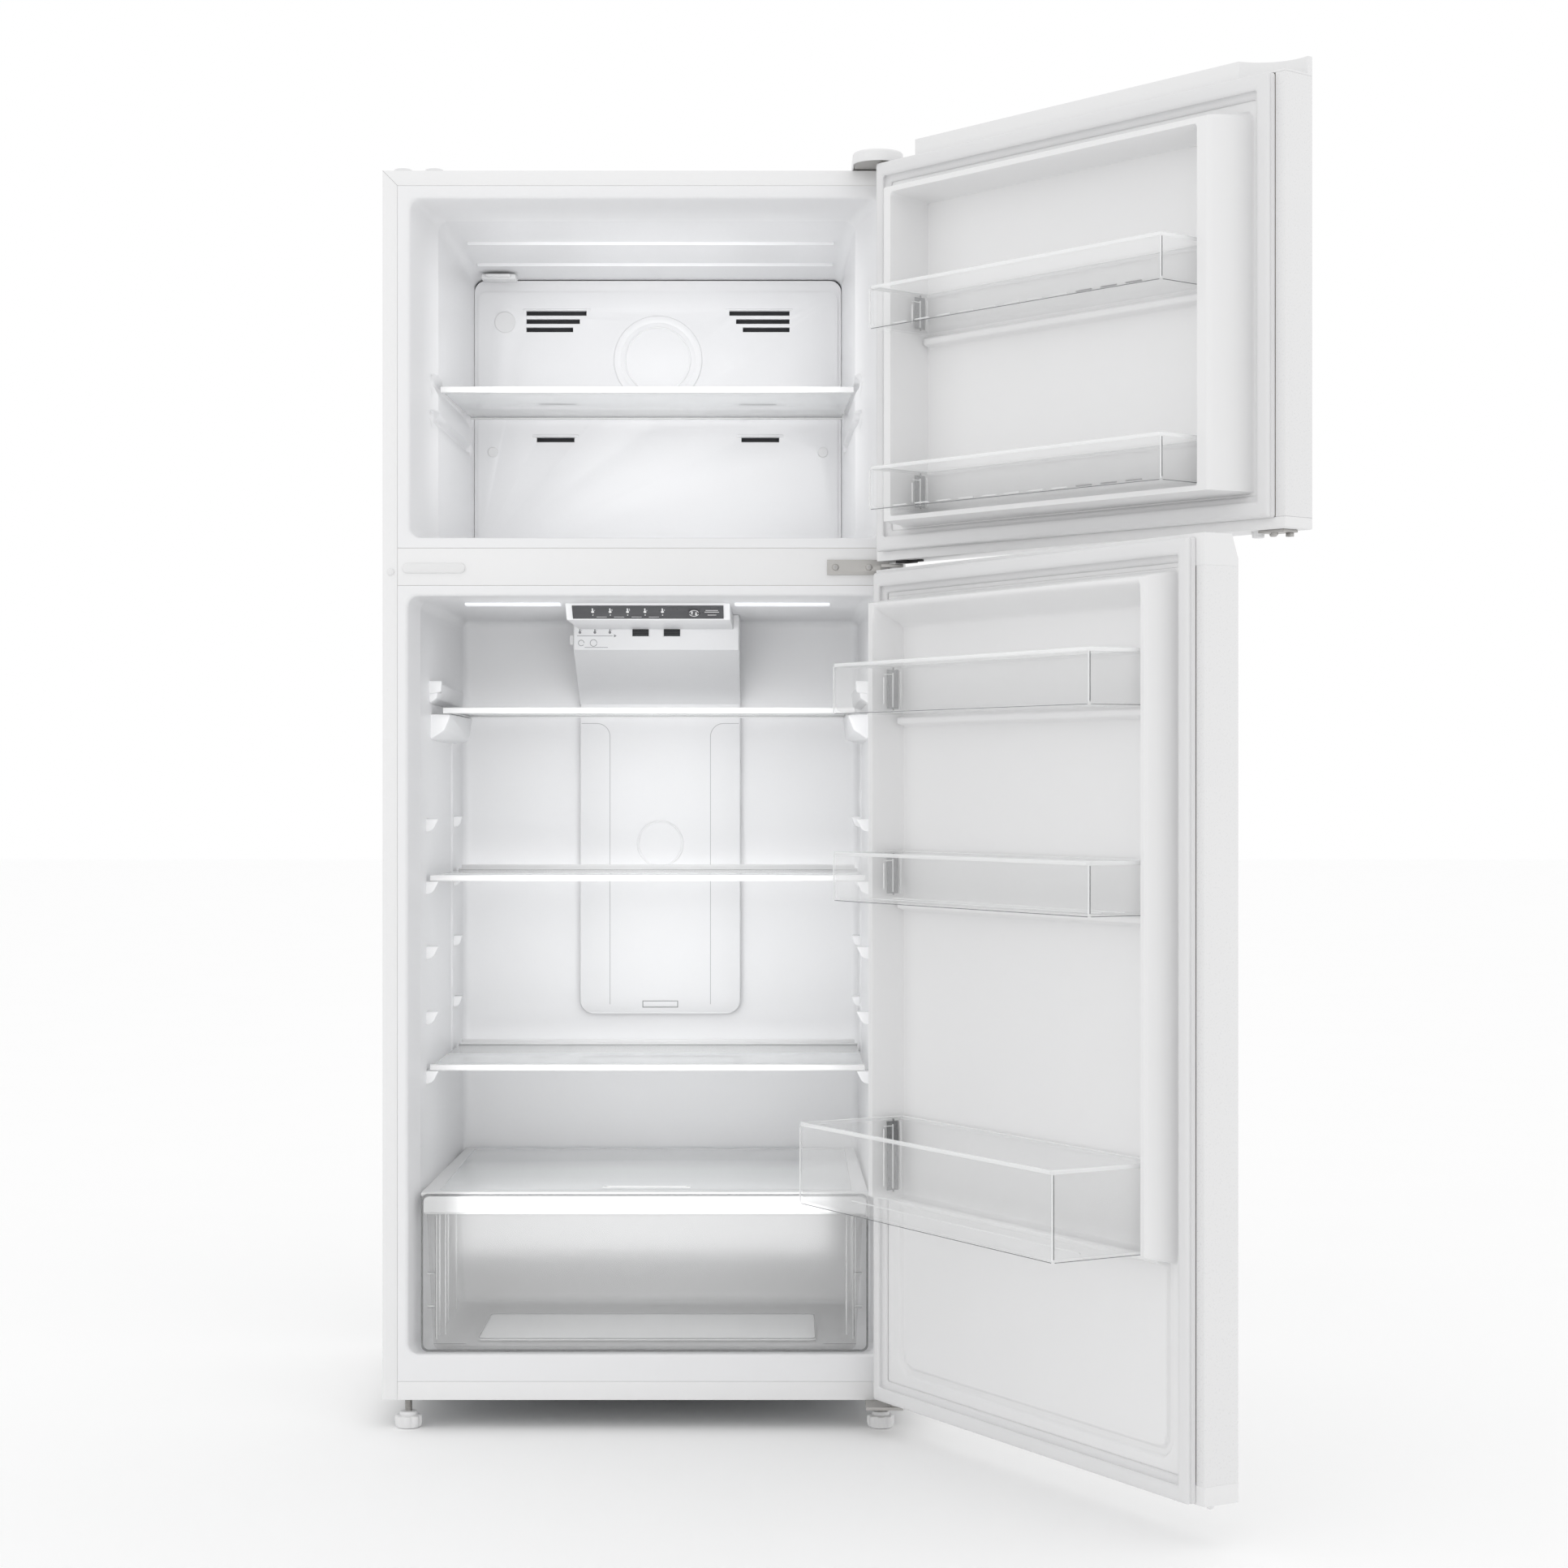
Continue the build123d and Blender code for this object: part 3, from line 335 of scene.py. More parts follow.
def rounded_block(x, y, z, edge):
    """A rounded block, given as (low, high) pairs."""
    shape = bmesh.new()
    made = bmesh.ops.create_cube(shape, size=1.0)["verts"]
    middle = Vector(((x[0] + x[1]) / 2, (y[0] + y[1]) / 2, (z[0] + z[1]) / 2))
    size = Vector((x[1] - x[0], y[1] - y[0], z[1] - z[0]))
    for vert in made:
        vert.co = Vector((vert.co.x * size.x, vert.co.y * size.y, vert.co.z * size.z)) + middle
    edges = list({e for v in made for e in v.link_edges})
    bmesh.ops.bevel(shape, geom=edges, offset=min(edge, min(size) * 0.45), offset_type="OFFSET",
                    segments=2, profile=0.5, affect="EDGES", clamp_overlap=True)
    return shape


def blocks(name, body, material, parts, edge=0.8, replaced=()):
    """One piece of several rounded blocks."""
    mesh = joined(name, body, (rounded_block(*part, edge) for part in parts))
    return finish_piece(name, mesh, body, material, replaced)


def rounded_lump(corners, edge):
    """A rounded convex lump through its corner points."""
    shape = bmesh.new()
    for corner in corners:
        shape.verts.new(corner)
    bmesh.ops.convex_hull(shape, input=shape.verts)
    bmesh.ops.dissolve_limit(shape, angle_limit=math.radians(1), verts=shape.verts, edges=shape.edges)
    bmesh.ops.bevel(shape, geom=list(shape.edges), offset=edge, offset_type="OFFSET", segments=3,
                    profile=0.5, affect="EDGES", clamp_overlap=True)
    return shape


def mirrored(side, a, b):
    """A (low, high) pair on one side (-1 or 1) of the middle plane."""
    return tuple(sorted((side * a, side * b)))


def lathe(profile, centre, axis, count=40):
    """Points and faces of a turned shape: profile is (along, radius) pairs in mm along the axis."""
    axis = Vector(axis).normalized()
    side = axis.orthogonal().normalized()
    other = axis.cross(side)
    loops = []
    for along, radius in profile:
        loop = []
        for i in range(count):
            angle = 2 * math.pi * i / count
            spoke = side * math.cos(angle) + other * math.sin(angle)
            loop.append(Vector(centre) + axis * along + spoke * radius)
        loops.append(loop)
    return stacked(loops)


def turned(name, turnings, body, material, replaced=(), count=40):
    """One piece of several turned shapes, each (profile, centre, axis)."""
    points, faces = [], []
    for profile, centre, axis in turnings:
        more, rings = lathe(profile, centre, axis, count)
        shift = len(points)
        points += more
        faces += [tuple(i + shift for i in face) for face in rings]
    return from_faces(name, (points, faces), body, material, replaced)


def domed(height, radius, flat=0.55, steps=5):
    """Profile of a shallow domed head: (along, radius) pairs."""
    profile = [(0.0, radius), (height * 0.35, radius)]
    for i in range(1, steps + 1):
        angle = math.pi / 2 * i / steps
        narrowed = flat + (1 - flat) * math.cos(angle)
        profile.append((height * (0.35 + 0.65 * math.sin(angle)), radius * narrowed))
    return profile


def rounded_loop(x, y, radii, arc=6):
    """Corner-rounded rectangle in the XY plane. radii: (low y corners, high y corners)."""
    near, far = radii
    corners = (
        (x[0] + near, y[0] + near, near, math.pi), (x[1] - near, y[0] + near, near, 1.5 * math.pi),
        (x[1] - far, y[1] - far, far, 0.0), (x[0] + far, y[1] - far, far, 0.5 * math.pi),
    )
    loop = []
    for cx, cy, radius, start in corners:
        for i in range(arc + 1):
            angle = start + math.pi / 2 * i / arc
            loop.append((cx + radius * math.cos(angle), cy + radius * math.sin(angle)))
    return loop


def ring_faces(rings, count):
    """Faces between rings of equally many points."""
    faces = []
    for low in range(0, (rings - 1) * count, count):
        for i in range(count):
            j = (i + 1) % count
            faces.append((low + i, low + j, low + count + j, low + count + i))
    return faces


def stacked(loops, closed_ends=True):
    """Points and faces through loops of equal length; each loop is a list of 3-D points."""
    count = len(loops[0])
    points = [Vector(point) for loop in loops for point in loop]
    faces = ring_faces(len(loops), count)
    if closed_ends:
        faces.append(tuple(range(count)))
        faces.append(tuple(range((len(loops) - 1) * count, len(loops) * count)))
    return points, faces


def grid(us, vs, point):
    """Points and faces of a surface over two lists of stations."""
    points = [point(u, v) for u in us for v in vs]
    width = len(vs)
    faces = [
        (i * width + j, i * width + j + 1, (i + 1) * width + j + 1, (i + 1) * width + j)
        for i in range(len(us) - 1) for j in range(width - 1)
    ]
    return points, faces


# ------------------------------------------------------------------ cabinet liners
def between(sections, y, column):
    """Straight interpolation of a section's column at a depth."""
    for a, b in zip(sections, sections[1:]):
        if y <= b[0]:
            share = (y - a[0]) / (b[0] - a[0])
            return a[column] + (b[column] - a[column]) * share
    return sections[-1][column]


FREEZER = ((0, 314.0, 1193.0, 1647.0), (75, 284.0, 1193.0, 1630.0), (440, 273.0, 1193.0, 1613.0),
           (525, 270.5, 1193.0, 1610.0))
FRIDGE = ((0, 316.6, 100.0, 1115.0), (40, 304.0, 100.0, 1111.5), (540, 300.0, 100.0, 1111.5))
LIP = ((0.0, 3.2), (0.5, 1.6), (1.6, 0.5), (3.2, 0.0))
BACK_ROUND = tuple((12 * (1 - math.sin(a)), 12 * (1 - math.cos(a)))
                   for a in (math.radians(d) for d in (0, 18, 36, 54, 72, 90)))


def room_stations(depth, edges):
    """Depths and insets of the wall loops: rounded lip, walls, rounded back corner."""
    stations = [(y, -grow) for y, grow in LIP]
    stations += [(y, 0.0) for y in stops(4.5, depth - 13, 14, edges)]
    stations += [(depth - away, inset) for away, inset in BACK_ROUND]
    return stations


def freezer_push(y, z):
    """How far the freezer's side wall is pressed outwards at the two shelf grooves."""
    flare = 8 * step((120 - y) / 50)
    upper = bump(z, 1396.5, 1410 + flare, 3)
    lower = bump(z, 1351, 1362 + flare, 3)
    return 7.0 * max(upper, lower) * bump(y, 58, 404, 8)


LEDGE_TOPS = (815.5, 729.7, 640.5, 551.0, 469.7)


def fridge_push(y, z):
    """How far the fresh food wall stands inwards along the rear rib, wider above each ledge."""
    wide = max(bump(z, top + 8, top + 40, 16) for top in LEDGE_TOPS)
    return -(2.0 + 1.2 * wide) * bump(y, 386 - 6 * wide, 432 + 6 * wide, 5) * bump(z, 452, 940, 10)


def freezer_liner():
    """Closed loops from the front flange to the back wall."""
    z_edges = (1351, 1362, 1370, 1396.5, 1410, 1418)
    y_edges = (58, 75, 120, 404)
    radius, arc = 14.0, 6

    def loop(y, inset, half=None, low=None, high=None, r=None):
        half = between(FREEZER, y, 1) - inset if half is None else half
        low = between(FREEZER, y, 2) + inset if low is None else low
        high = between(FREEZER, y, 3) - inset if high is None else high
        r = radius if r is None else r
        zs = stops(1193 + 16, 1605 - 16, 11, z_edges)
        share = [(z - zs[0]) / (zs[-1] - zs[0]) for z in zs]
        xs = [-1 + 2 * i / 16 for i in range(17)]
        points = [(x * (half - r), low) for x in xs[:-1]]
        for side, turn in ((1, -math.pi / 2), (-1, math.pi / 2)):
            low_corner = side == 1
            for i in range(arc + 1):
                angle = turn + math.pi / 2 * i / arc
                cz = low + r if low_corner else high - r
                points.append((side * (half - r) + r * math.cos(angle), cz + r * math.sin(angle)))
            if low_corner:
                for s in share[1:-1]:
                    z = low + r + (high - low - 2 * r) * s
                    points.append((half + freezer_push(y, z), z))
                for i in range(arc + 1):
                    angle = math.pi / 2 * i / arc
                    points.append((half - r + r * math.cos(angle), high - r + r * math.sin(angle)))
                points += [(-x * (half - r), high) for x in xs[1:-1]]
            else:
                for s in reversed(share[1:-1]):
                    z = low + r + (high - low - 2 * r) * s
                    points.append((-half - freezer_push(y, z), z))
                for i in range(arc):
                    angle = math.pi + math.pi / 2 * i / arc
                    points.append((-half + r + r * math.cos(angle), low + r + r * math.sin(angle)))
        return [(x, y, z) for x, z in points]

    loops = [loop(0.0, 0.0, FLANGE_HALF, 1179.2, 1663.8, 0.8)]
    loops += [loop(y, inset) for y, inset in room_stations(525, y_edges)]
    points, faces = stacked(loops)
    faces.remove(tuple(range(len(loops[0]))))
    from_faces("freezer_liner_moulding", (points, faces), "cabinet", "liner_plastic",
               ("freezer_liner",), smooth_angle=40)
    ribs = []
    for y in (200, 335):
        ceiling = between(FREEZER, y, 3)
        ribs.append(((-258, 258), (y - 4, y + 4), (ceiling - 4.5, ceiling + 1)))
    blocks("freezer_ceiling_ribs", "cabinet", "liner_plastic", ribs, 2.0)


def fridge_liner():
    """Upper room over the step, lower room in front of it, the step's top and the flange."""
    step_z, step_y, arc, r = 296.0, 415.0, 6, 14.0
    edges = [e for top in LEDGE_TOPS for e in (top + 8, top + 40)] + [940]
    y_edges = (40, 380, 386, 432, 438)
    stations = room_stations(540, y_edges + (step_y,))
    low_stations = [s for s in stations if s[0] < step_y - 14]
    low_stations += [(step_y - away, inset) for away, inset in BACK_ROUND]

    def upper(y, inset):
        half, high = between(FRIDGE, y, 1) - inset, between(FRIDGE, y, 3) - inset
        zs = stops(step_z, 1085, 13, edges)
        left = [(-half - fridge_push(y, z), z) for z in zs]
        corner = [(-half + r - r * math.cos(a), high - r + r * math.sin(a))
                  for a in (math.pi / 2 * i / arc for i in range(arc + 1))]
        top = [(x * (half - r), high) for x in (-0.9, -0.6, -0.3, 0, 0.3, 0.6, 0.9)]
        path = left + corner + top + [(-x, z) for x, z in reversed(corner)]
        return [(x, y, z) for x, z in path + [(-x, z) for x, z in reversed(left)]]

    def lower(y, inset):
        half, low = between(FRIDGE, y, 1) - inset, between(FRIDGE, y, 2) + inset
        left = [(-half, step_z + (low + r - step_z) * i / 8) for i in range(9)]
        corner = [(-half + r - r * math.cos(a), low + r - r * math.sin(a))
                  for a in (math.pi / 2 * i / arc for i in range(arc + 1))]
        floor = [(x * (half - r), low) for x in (-0.9, -0.6, -0.3, 0, 0.3, 0.6, 0.9)]
        path = left + corner + floor + [(-x, z) for x, z in reversed(corner)]
        return [(x, y, z) for x, z in path + [(-x, z) for x, z in reversed(left)]]

    points, faces = [], []

    def strip(loops):
        """A sheet through open loops, closed at its far end across the mirrored halves."""
        shift, count = len(points), len(loops[0])
        for loop in loops:
            points.extend(loop)
        for ring in range(len(loops) - 1):
            for i in range(count - 1):
                a = shift + ring * count + i
                faces.append((a, a + 1, a + count + 1, a + count))
        last = shift + (len(loops) - 1) * count
        for i in range(count // 2):
            a, b = last + i, last + count - 1 - i
            faces.append((a, a + 1, b - 1, b) if b - 1 > a + 1 else (a, a + 1, b))

    strip([upper(y, inset) for y, inset in stations])
    strip([lower(y, inset) for y, inset in low_stations])
    shelf = [upper(y, inset) for y, inset in stations if y >= step_y]
    half = between(FRIDGE, step_y, 1)
    shelf.insert(0, [(-half, step_y, step_z), (half, step_y, step_z)])
    for a, b in zip(shelf, shelf[1:]):
        base = len(points)
        points.extend([a[0], a[-1], b[-1], b[0]])
        faces.append((base, base + 1, base + 2, base + 3))
    from_faces("fridge_liner_moulding", (points, faces), "cabinet", "liner_plastic",
               ("fridge_liner",), smooth_angle=40)

    grow = LIP[0][1]
    mouth = [(x, z) for x, _, z in upper(0.0, -grow)]
    mouth += [(x, z) for x, _, z in reversed(lower(0.0, -grow))][1:-1]
    flange_low, flange_high, mouth_high = 64.0, 1128.8, 1118.2
    outside = []
    for x, z in mouth:
        ox = math.copysign(FLANGE_HALF, x) if abs(x) > 300 else x * FLANGE_HALF / 303.0
        oz = flange_high if z > 1113 else (flange_low if z < 98.5 else z)
        if abs(x) > 306 and z > 1100:
            oz = flange_high - (mouth_high - z) * 0.4
        outside.append((ox, oz))
    loops = [[(x, 0.0, z) for x, z in outside], [(x, 0.0, z) for x, z in mouth]]
    from_faces("fridge_flange", stacked(loops, False), "cabinet", "liner_plastic")


def shelf_brackets():
    """Moulded rests on both walls: tapered ledges, and the upper shelf's long brackets and clips."""
    parts = []
    for side in (-1, 1):
        def lump(front_y, front, back_y, back):
            return [(side * x, front_y, z) for x, z in front] + [(side * x, back_y, z) for x, z in back]

        parts.append(lump(150, ((275, 960.4), (305, 960.4), (305, 924), (284, 938)),
                          424, ((274, 960.4), (303, 960.4), (303, 921), (279, 928))))
        parts.append(lump(138, ((291, 1004), (305, 1004), (305, 974), (293, 982)),
                          426, ((287, 998), (303, 998), (303, 973), (289, 975))))
        parts.append(lump(134, ((286, 1006), (305, 1006), (305, 988), (287, 990)),
                          172, ((289, 1006), (305, 1006), (305, 988), (290, 990))))
        for top in LEDGE_TOPS:
            parts.append(lump(100, ((286, top), (305, top), (305, top - 19), (294, top - 16)),
                              121, ((289, top), (305, top), (305, top - 13), (297, top - 9))))
            parts.append(lump(402, ((286, top), (303, top), (303, top - 17), (291, top - 15)),
                              424, ((287, top), (303, top), (303, top - 15), (293, top - 11))))
    mesh = joined("wall_rests", "cabinet", (rounded_lump(corners, 2.2) for corners in parts))
    finish_piece("wall_rests", mesh, "cabinet", "liner_plastic")


# ------------------------------------------------------------------ doors
DOORS = {
    "freezer_door": {
        "plate_z": (1171.2, 1681.8), "height": 61.0,
        "base": (46.0, 651.0), "slope": (36.0, 21.0), "z": (1199.0, 1645.0), "z_slope": (3.0, 13.0),
        "floor": (99.0, 611.0), "wall": (6.0, 5.0), "floor_z": (1211.0, 1617.0), "z_wall": (3.0, 9.0),
        "ribs": (1443.0,), "gasket_z": (1170.0, 1682.0), "groove_low": None,
    },
    "fridge_door": {
        "plate_z": (72.2, 1109.8), "height": 44.0,
        "base": (46.0, 650.0), "slope": (5.0, 7.0), "z": (315.0, 1108.0), "z_slope": (12.0, 10.0),
        "floor": (67.0, 631.0), "wall": (6.0, 5.0), "floor_z": (150.0, 1066.0), "z_wall": (2.0, 30.0),
        "ribs": (953.0, 713.0, 327.0), "gasket_z": (50.4, 1142.0), "groove_low": (58.0, 638.0, 92.0, 330.0),
    },
}


def inside(distances, widths):
    """0 outside, 1 fully inside; corners are rounded. Pairs are (low, high) for L then Z."""
    shares = [1 - min(max(d / w, 0.0), 1.0) for d, w in zip(distances, widths)]
    edge = math.hypot(max(shares[0], shares[1]), max(shares[2], shares[3]))
    return step(1 - edge) if min(distances) > 0 else 0.0


def liner_height(door, l, z):
    """Height of a door's inner liner above its flat border, in mm."""
    base, z_range = door["base"], door["z"]
    outer = inside((l - base[0], base[1] - l, z - z_range[0], z_range[1] - z),
                   (*door["slope"], *door["z_slope"]))
    floor, floor_z, wall, z_wall = door["floor"], door["floor_z"], door["wall"], door["z_wall"]
    pocket = inside((l - floor[0] + wall[0], floor[1] + wall[1] - l, z - floor_z[0] + z_wall[0],
                     floor_z[1] + z_wall[1] - z), (wall[0], wall[1], z_wall[0], z_wall[1]))
    height = door["height"] * outer * (1 - pocket)
    for rib in door["ribs"]:
        ledge = bump(z, rib - 13, rib - 1.5, 5) * bump(l, floor[0] + 3, floor[1] - 3, 5)
        height = max(height, 13 * ledge)
    if door["groove_low"]:
        l0, l1, z0, z1 = door["groove_low"]
        if z < z1:
            corner = 26.0
            side, up = min(l - l0, l1 - l), z - z0
            near = min(side, up)
            if side < corner and up < corner:
                near = corner - math.hypot(corner - side, corner - up)
            fade = step((z1 - z) / 20)
            height -= 4.3 * bump(near, 0.0, 10.0, 3.4) * fade
    return height


def door_liner(body):
    door = DOORS[body]
    l_edges = (door["base"][0], door["base"][0] + door["slope"][0], door["floor"][0] - door["wall"][0],
               door["floor"][0], door["floor"][1], door["floor"][1] + door["wall"][1],
               door["base"][1] - door["slope"][1], door["base"][1])
    z_edges = [door["z"][0], door["z"][0] + door["z_slope"][0], door["floor_z"][1],
               door["floor_z"][1] + door["z_wall"][1], door["z"][1] - door["z_slope"][1], door["z"][1],
               door["floor_z"][0]]
    for rib in door["ribs"]:
        z_edges += [rib - 13, rib - 1.5]
    if door["groove_low"]:
        l_edges += (door["groove_low"][0], door["groove_low"][0] + 11, door["groove_low"][1] - 11,
                    door["groove_low"][1])
        z_edges += [door["groove_low"][2], door["groove_low"][2] + 11]
    reach = (-6, -4.5, -3, -1.5, 0, 1.5, 3, 4.5, 6)
    ls = stops(12.0, 679.0, 9.0, l_edges, reach)
    zs = stops(door["plate_z"][0], door["plate_z"][1], 9.0, z_edges, reach)
    sheet = grid(ls, zs, lambda l, z: (DOOR_RIGHT - l, DOOR_IN + liner_height(door, l, z), z))
    from_faces(body + "_liner_moulding", sheet, body, "door_liner_plastic",
               (body + "_liner",), smooth_angle=60)


GASKET_PROFILE = ((0.0, 0.4), (0.3, 4.2), (1.6, 5.4), (1.2, 6.8), (0.2, 8.2), (0.6, 10.6), (2.2, 12.0),
                  (6.0, 12.2), (13.5, 12.2), (17.2, 11.8), (18.6, 10.4), (18.2, 8.0), (17.0, 6.6),
                  (18.4, 5.2),
                  (22.5, 4.2), (25.6, 3.2), (26.6, 1.6), (26.8, 0.4))


def gasket(body):
    """A magnetic door seal: a hollow bulb on a bellows foot, mitred round the door."""
    low, high = DOORS[body]["gasket_z"]
    hinge_l, free_l, corner = 10.8, 681.0, 3.0
    width, hinge_width = GASKET_PROFILE[-1][0], 19.5
    loops = []
    for inward, height in GASKET_PROFILE:
        l_range = (hinge_l + inward * hinge_width / width, free_l - inward)
        loop = rounded_loop(l_range, (low + inward, high - inward), (corner, corner), 3)
        loops.append([(DOOR_RIGHT - l, DOOR_IN + height, z) for l, z in loop])
    from_faces(body + "_seal", stacked(loops, False), body, "gasket_rubber",
               (body + "_gasket",), smooth_angle=50)


def bin_piece(name, x, depth, z, slotted):
    """A clear door bin: thin walls, rolled rim, end hooks, and a slotted or a ribbed floor."""
    back, front = DOOR_IN + 4, DOOR_IN + depth
    wall, r_back, r_front = 2.2, 3.0, 4.5
    low, high = z

    def loop(grow, height):
        ring = rounded_loop((x[0] - grow, x[1] + grow), (back - min(grow, 0.0), front + grow),
                            (max(r_back + grow, 1.0), max(r_front + grow, 1.0)), 6)
        return [(px, py, height) for px, py in ring]

    outer = ((-7, low), (-3.4, low + 0.8), (-1.2, low + 3), (-0.2, low + 7), (0, high - 6))
    rim = ((0, high - 5), (0, high - 0.8), (-0.6, high), (-2.4, high), (-wall - 0.8, high - 1))
    inner = ((-wall, high - 6), (-wall - 0.4, low + 8), (-wall - 2, low + 4.4), (-8, low + 2.4))
    loops = [loop(grow, height) for grow, height in outer + rim + inner]
    from_faces(name + "_body", stacked(loops), name, "clear_plastic", (name,),
               smooth_angle=50)

    lip = [loop(-0.1, high - 4.6), loop(0.35, high - 4.2), loop(0.35, high - 0.4), loop(-0.4, high + 0.2),
           loop(-2.2, high + 0.2), loop(-2.8, high - 0.6)]
    from_faces(name + "_rim", stacked(lip, False), name, "clear_edge", smooth_angle=50)

    parts = []
    for side, edge in ((-1, x[1]), (1, x[0])):
        span = tuple(sorted((edge - side * 0.2, edge + side * 2.6)))
        hook = tuple(sorted((edge + side * 2.0, edge + side * 4.2)))
        parts.append((span, (back + 2, back + 5), (low + 8, high - 8)))
        parts.append((hook, (back + 16, back + 18), (low + 10, high - 10)))
        parts.append((hook, (back + 30, back + 31.4), (low + 14, high - 16)))
        parts.append((hook, (back + 16, back + 31), (high - 13, high - 11.6)))
    for corner in x:
        inner = corner + math.copysign(1.5, -corner + sum(x) / 2)
        span = tuple(sorted((corner, inner)))
        parts.append((span, (front - 1.5, front + 0.1), (low + 2, high - 4)))
    blocks(name + "_hooks", name, "clear_edge", parts, 0.5)
    # Dark lines at the bin's corners, floor edges and hooks: painted shade along the clear edges.
    lines = [((x[0] + 0.4, x[0] + 1.3), (front - 3.4, front - 2.4), (low + 4, high - 5)),
             ((x[0] + 3, x[1] - 3), (front - 1.2, front - 0.4), (low + 0.1, low + 1.0)),
             ((x[0] + 0.1, x[0] + 0.9), (back + 3, front - 4), (low + 0.1, low + 1.0)),
             ((x[1] - 3.2, x[1] - 2.4), (back + 8, back + 26), (low + 8, high - 6)),
             ((x[1] - 3.8, x[1] - 2.4), (back + 15, back + 17), (low + 6, high - 3))]
    blocks(name + "_lines", name, "clear_shade_line", lines, 0.2)

    if slotted:
        count = 11
        pitch = (x[1] - x[0] - 60) / count
        starts = [x[0] + 34 + pitch * i for i in range(count)]
        dashes = [((a, a + pitch * 0.62), (front - 5.5, front - 3.6), (low + 2.6, low + 4.2)) for a in starts]
        # The first third of the floor slots are painted grey as the shade in them; the others are clear edge
        # plastic.
        blocks(name + "_floor_slots", name, "print_and_slot_shade_grey", dashes[: count // 3], 0.3)
        blocks(name + "_floor_ribs", name, "clear_edge", dashes[count // 3:], 0.3)
    else:
        ribs = [((x[0] + 30, x[1] - 30), (y - 0.8, y + 0.8), (low + 2.2, low + 3.6))
                for y in (back + depth * 0.3, back + depth * 0.6)]
        blocks(name + "_floor_ribs", name, "clear_edge", ribs, 0.4)


def door_extras():
    """Brackets, screws, bushings and stops on the doors' lower ends."""
    free, down = DOOR_LEFT, (0, 0, -1)
    blocks("freezer_door_end_bracket", "freezer_door", "hinge_steel",
           [((free + 14, free + 52), (-52, -26), (1154.6, 1157.8)),
            ((free + 18, free + 26), (-50, -44), (1150, 1155))], 0.6)
    screws = [(domed(3.2, 4.4), (free + x, y, 1154.6), down) for x, y in ((34, -34), (46, -46))]
    turned("freezer_door_end_screws", screws, "freezer_door", "hinge_steel", count=20)
    bushing = [([(0, 8), (3, 8), (3.4, 7.4), (7, 7), (7.6, 6.2)], (free + 62, -38, 1158), down)]
    turned("freezer_door_end_bushing", bushing, "freezer_door", "trim_plastic", count=28)
    pins = [([(0, 6), (4, 5.6), (9, 3.4), (10, 2.2)], (free + 24, -40, 50), down),
            ([(0, 8), (2.6, 8), (3, 7.2)], (free + 66, -30, 50), down),
            ([(2, 5), (8, 4.6), (8.8, 3.6)], (free + 66, -30, 50), down)]
    turned("fridge_door_end_pin", pins, "fridge_door", "trim_plastic", count=24)
    blocks("freezer_door_stop", "freezer_door", "black_rubber",
           [((300, 322), (-42, -22), (1154.8, 1158)), ((282, 302), (-36, -28), (1155.4, 1158))], 0.6)


# ------------------------------------------------------------------ freezer details
def evaporator_details():
    front, out = 440.0, (0, -1, 0)
    ring = [(0, 49.6), (1.2, 48.8), (1.2, 47.6), (0, 47.0)]
    outer = [(0, 66), (1.2, 65), (1.7, 62), (1.7, 58), (0.6, 53.5), (0, 52.5)]
    turned("fan_disc_ring", [(ring, (0, front - 1.4, 1493), out), (outer, (0, front - 0.4, 1493), out)],
           "cabinet", "liner_plastic", count=72)
    caps = [(domed(2.0, 15.7, 0.9), (-227, front - 0.2, 1549), out)]
    caps += [(domed(2.2, 7.8, 0.8), (x, front - 0.2, 1356), out) for x in (-245, 245)]
    turned("evaporator_screw_caps", caps, "cabinet", "trim_plastic", count=32)
    voids = []
    for side in (-1, 1):
        for index, inner in enumerate((106, 116, 126)):
            top = 1566.0 - 12.2 * index
            voids.append((mirrored(side, inner - 2, 197.5), (448.5, 450.5), (top - 9, top + 2)))
        voids.append((mirrored(side, 122, 182), (448.5, 450.5), (1369, 1380)))
    blocks("evaporator_slot_shadows", "cabinet", "dark_void", voids, 0.3)
    hoods = [(mirrored(side, 118, 186), (front - 2.4, front + 0.4), (1378.4, 1382.4)) for side in (-1, 1)]
    hoods += [(mirrored(side, 100, 200), (front - 1.6, front + 0.4), (1567, 1569.4)) for side in (-1, 1)]
    blocks("evaporator_slot_hoods", "cabinet", "liner_plastic", hoods, 1.1)
    blocks("freezer_sensor_clip", "cabinet", "trim_plastic",
           [((-257, -206), (384, 418), (1604, 1612)), ((-250, -213), (376, 386), (1606, 1611))], 2.4)


# ------------------------------------------------------------------ fresh food details
PANEL_TOP, PANEL_LOW = (100.0, 1111.3), (130.0, 1090.0)


def panel_place(u, v, out):
    """A point on the slanted control panel: u across, v up the slope from its middle, out of it."""
    dy, dz = PANEL_TOP[0] - PANEL_LOW[0], PANEL_TOP[1] - PANEL_LOW[1]
    length = math.hypot(dy, dz)
    dy, dz = dy / length, dz / length
    y = (PANEL_TOP[0] + PANEL_LOW[0]) / 2 + dy * v - dz * out
    z = (PANEL_TOP[1] + PANEL_LOW[1]) / 2 + dz * v + dy * out
    return (u, y, z)


def flat_marks(name, outlines, put, material):
    """Thin raised marks from closed outlines in a surface's own (u, v) plane."""
    points, faces = [], []
    for outline in outlines:
        shift, count = len(points), len(outline)
        points += [put(u, v, 0.0) for u, v in outline] + [put(u, v, 0.25) for u, v in outline]
        faces.append(tuple(shift + count + i for i in range(count)))
        faces += [(shift + i, shift + (i + 1) % count, shift + count + (i + 1) % count, shift + count + i)
                  for i in range(count)]
    return from_faces(name, (points, faces), "cabinet", material)


def bar_outline(u, v, width, height):
    """Corners of a bar round its middle."""
    return [(u - width / 2, v - height / 2), (u + width / 2, v - height / 2), (u + width / 2, v + height / 2),
            (u - width / 2, v + height / 2)]


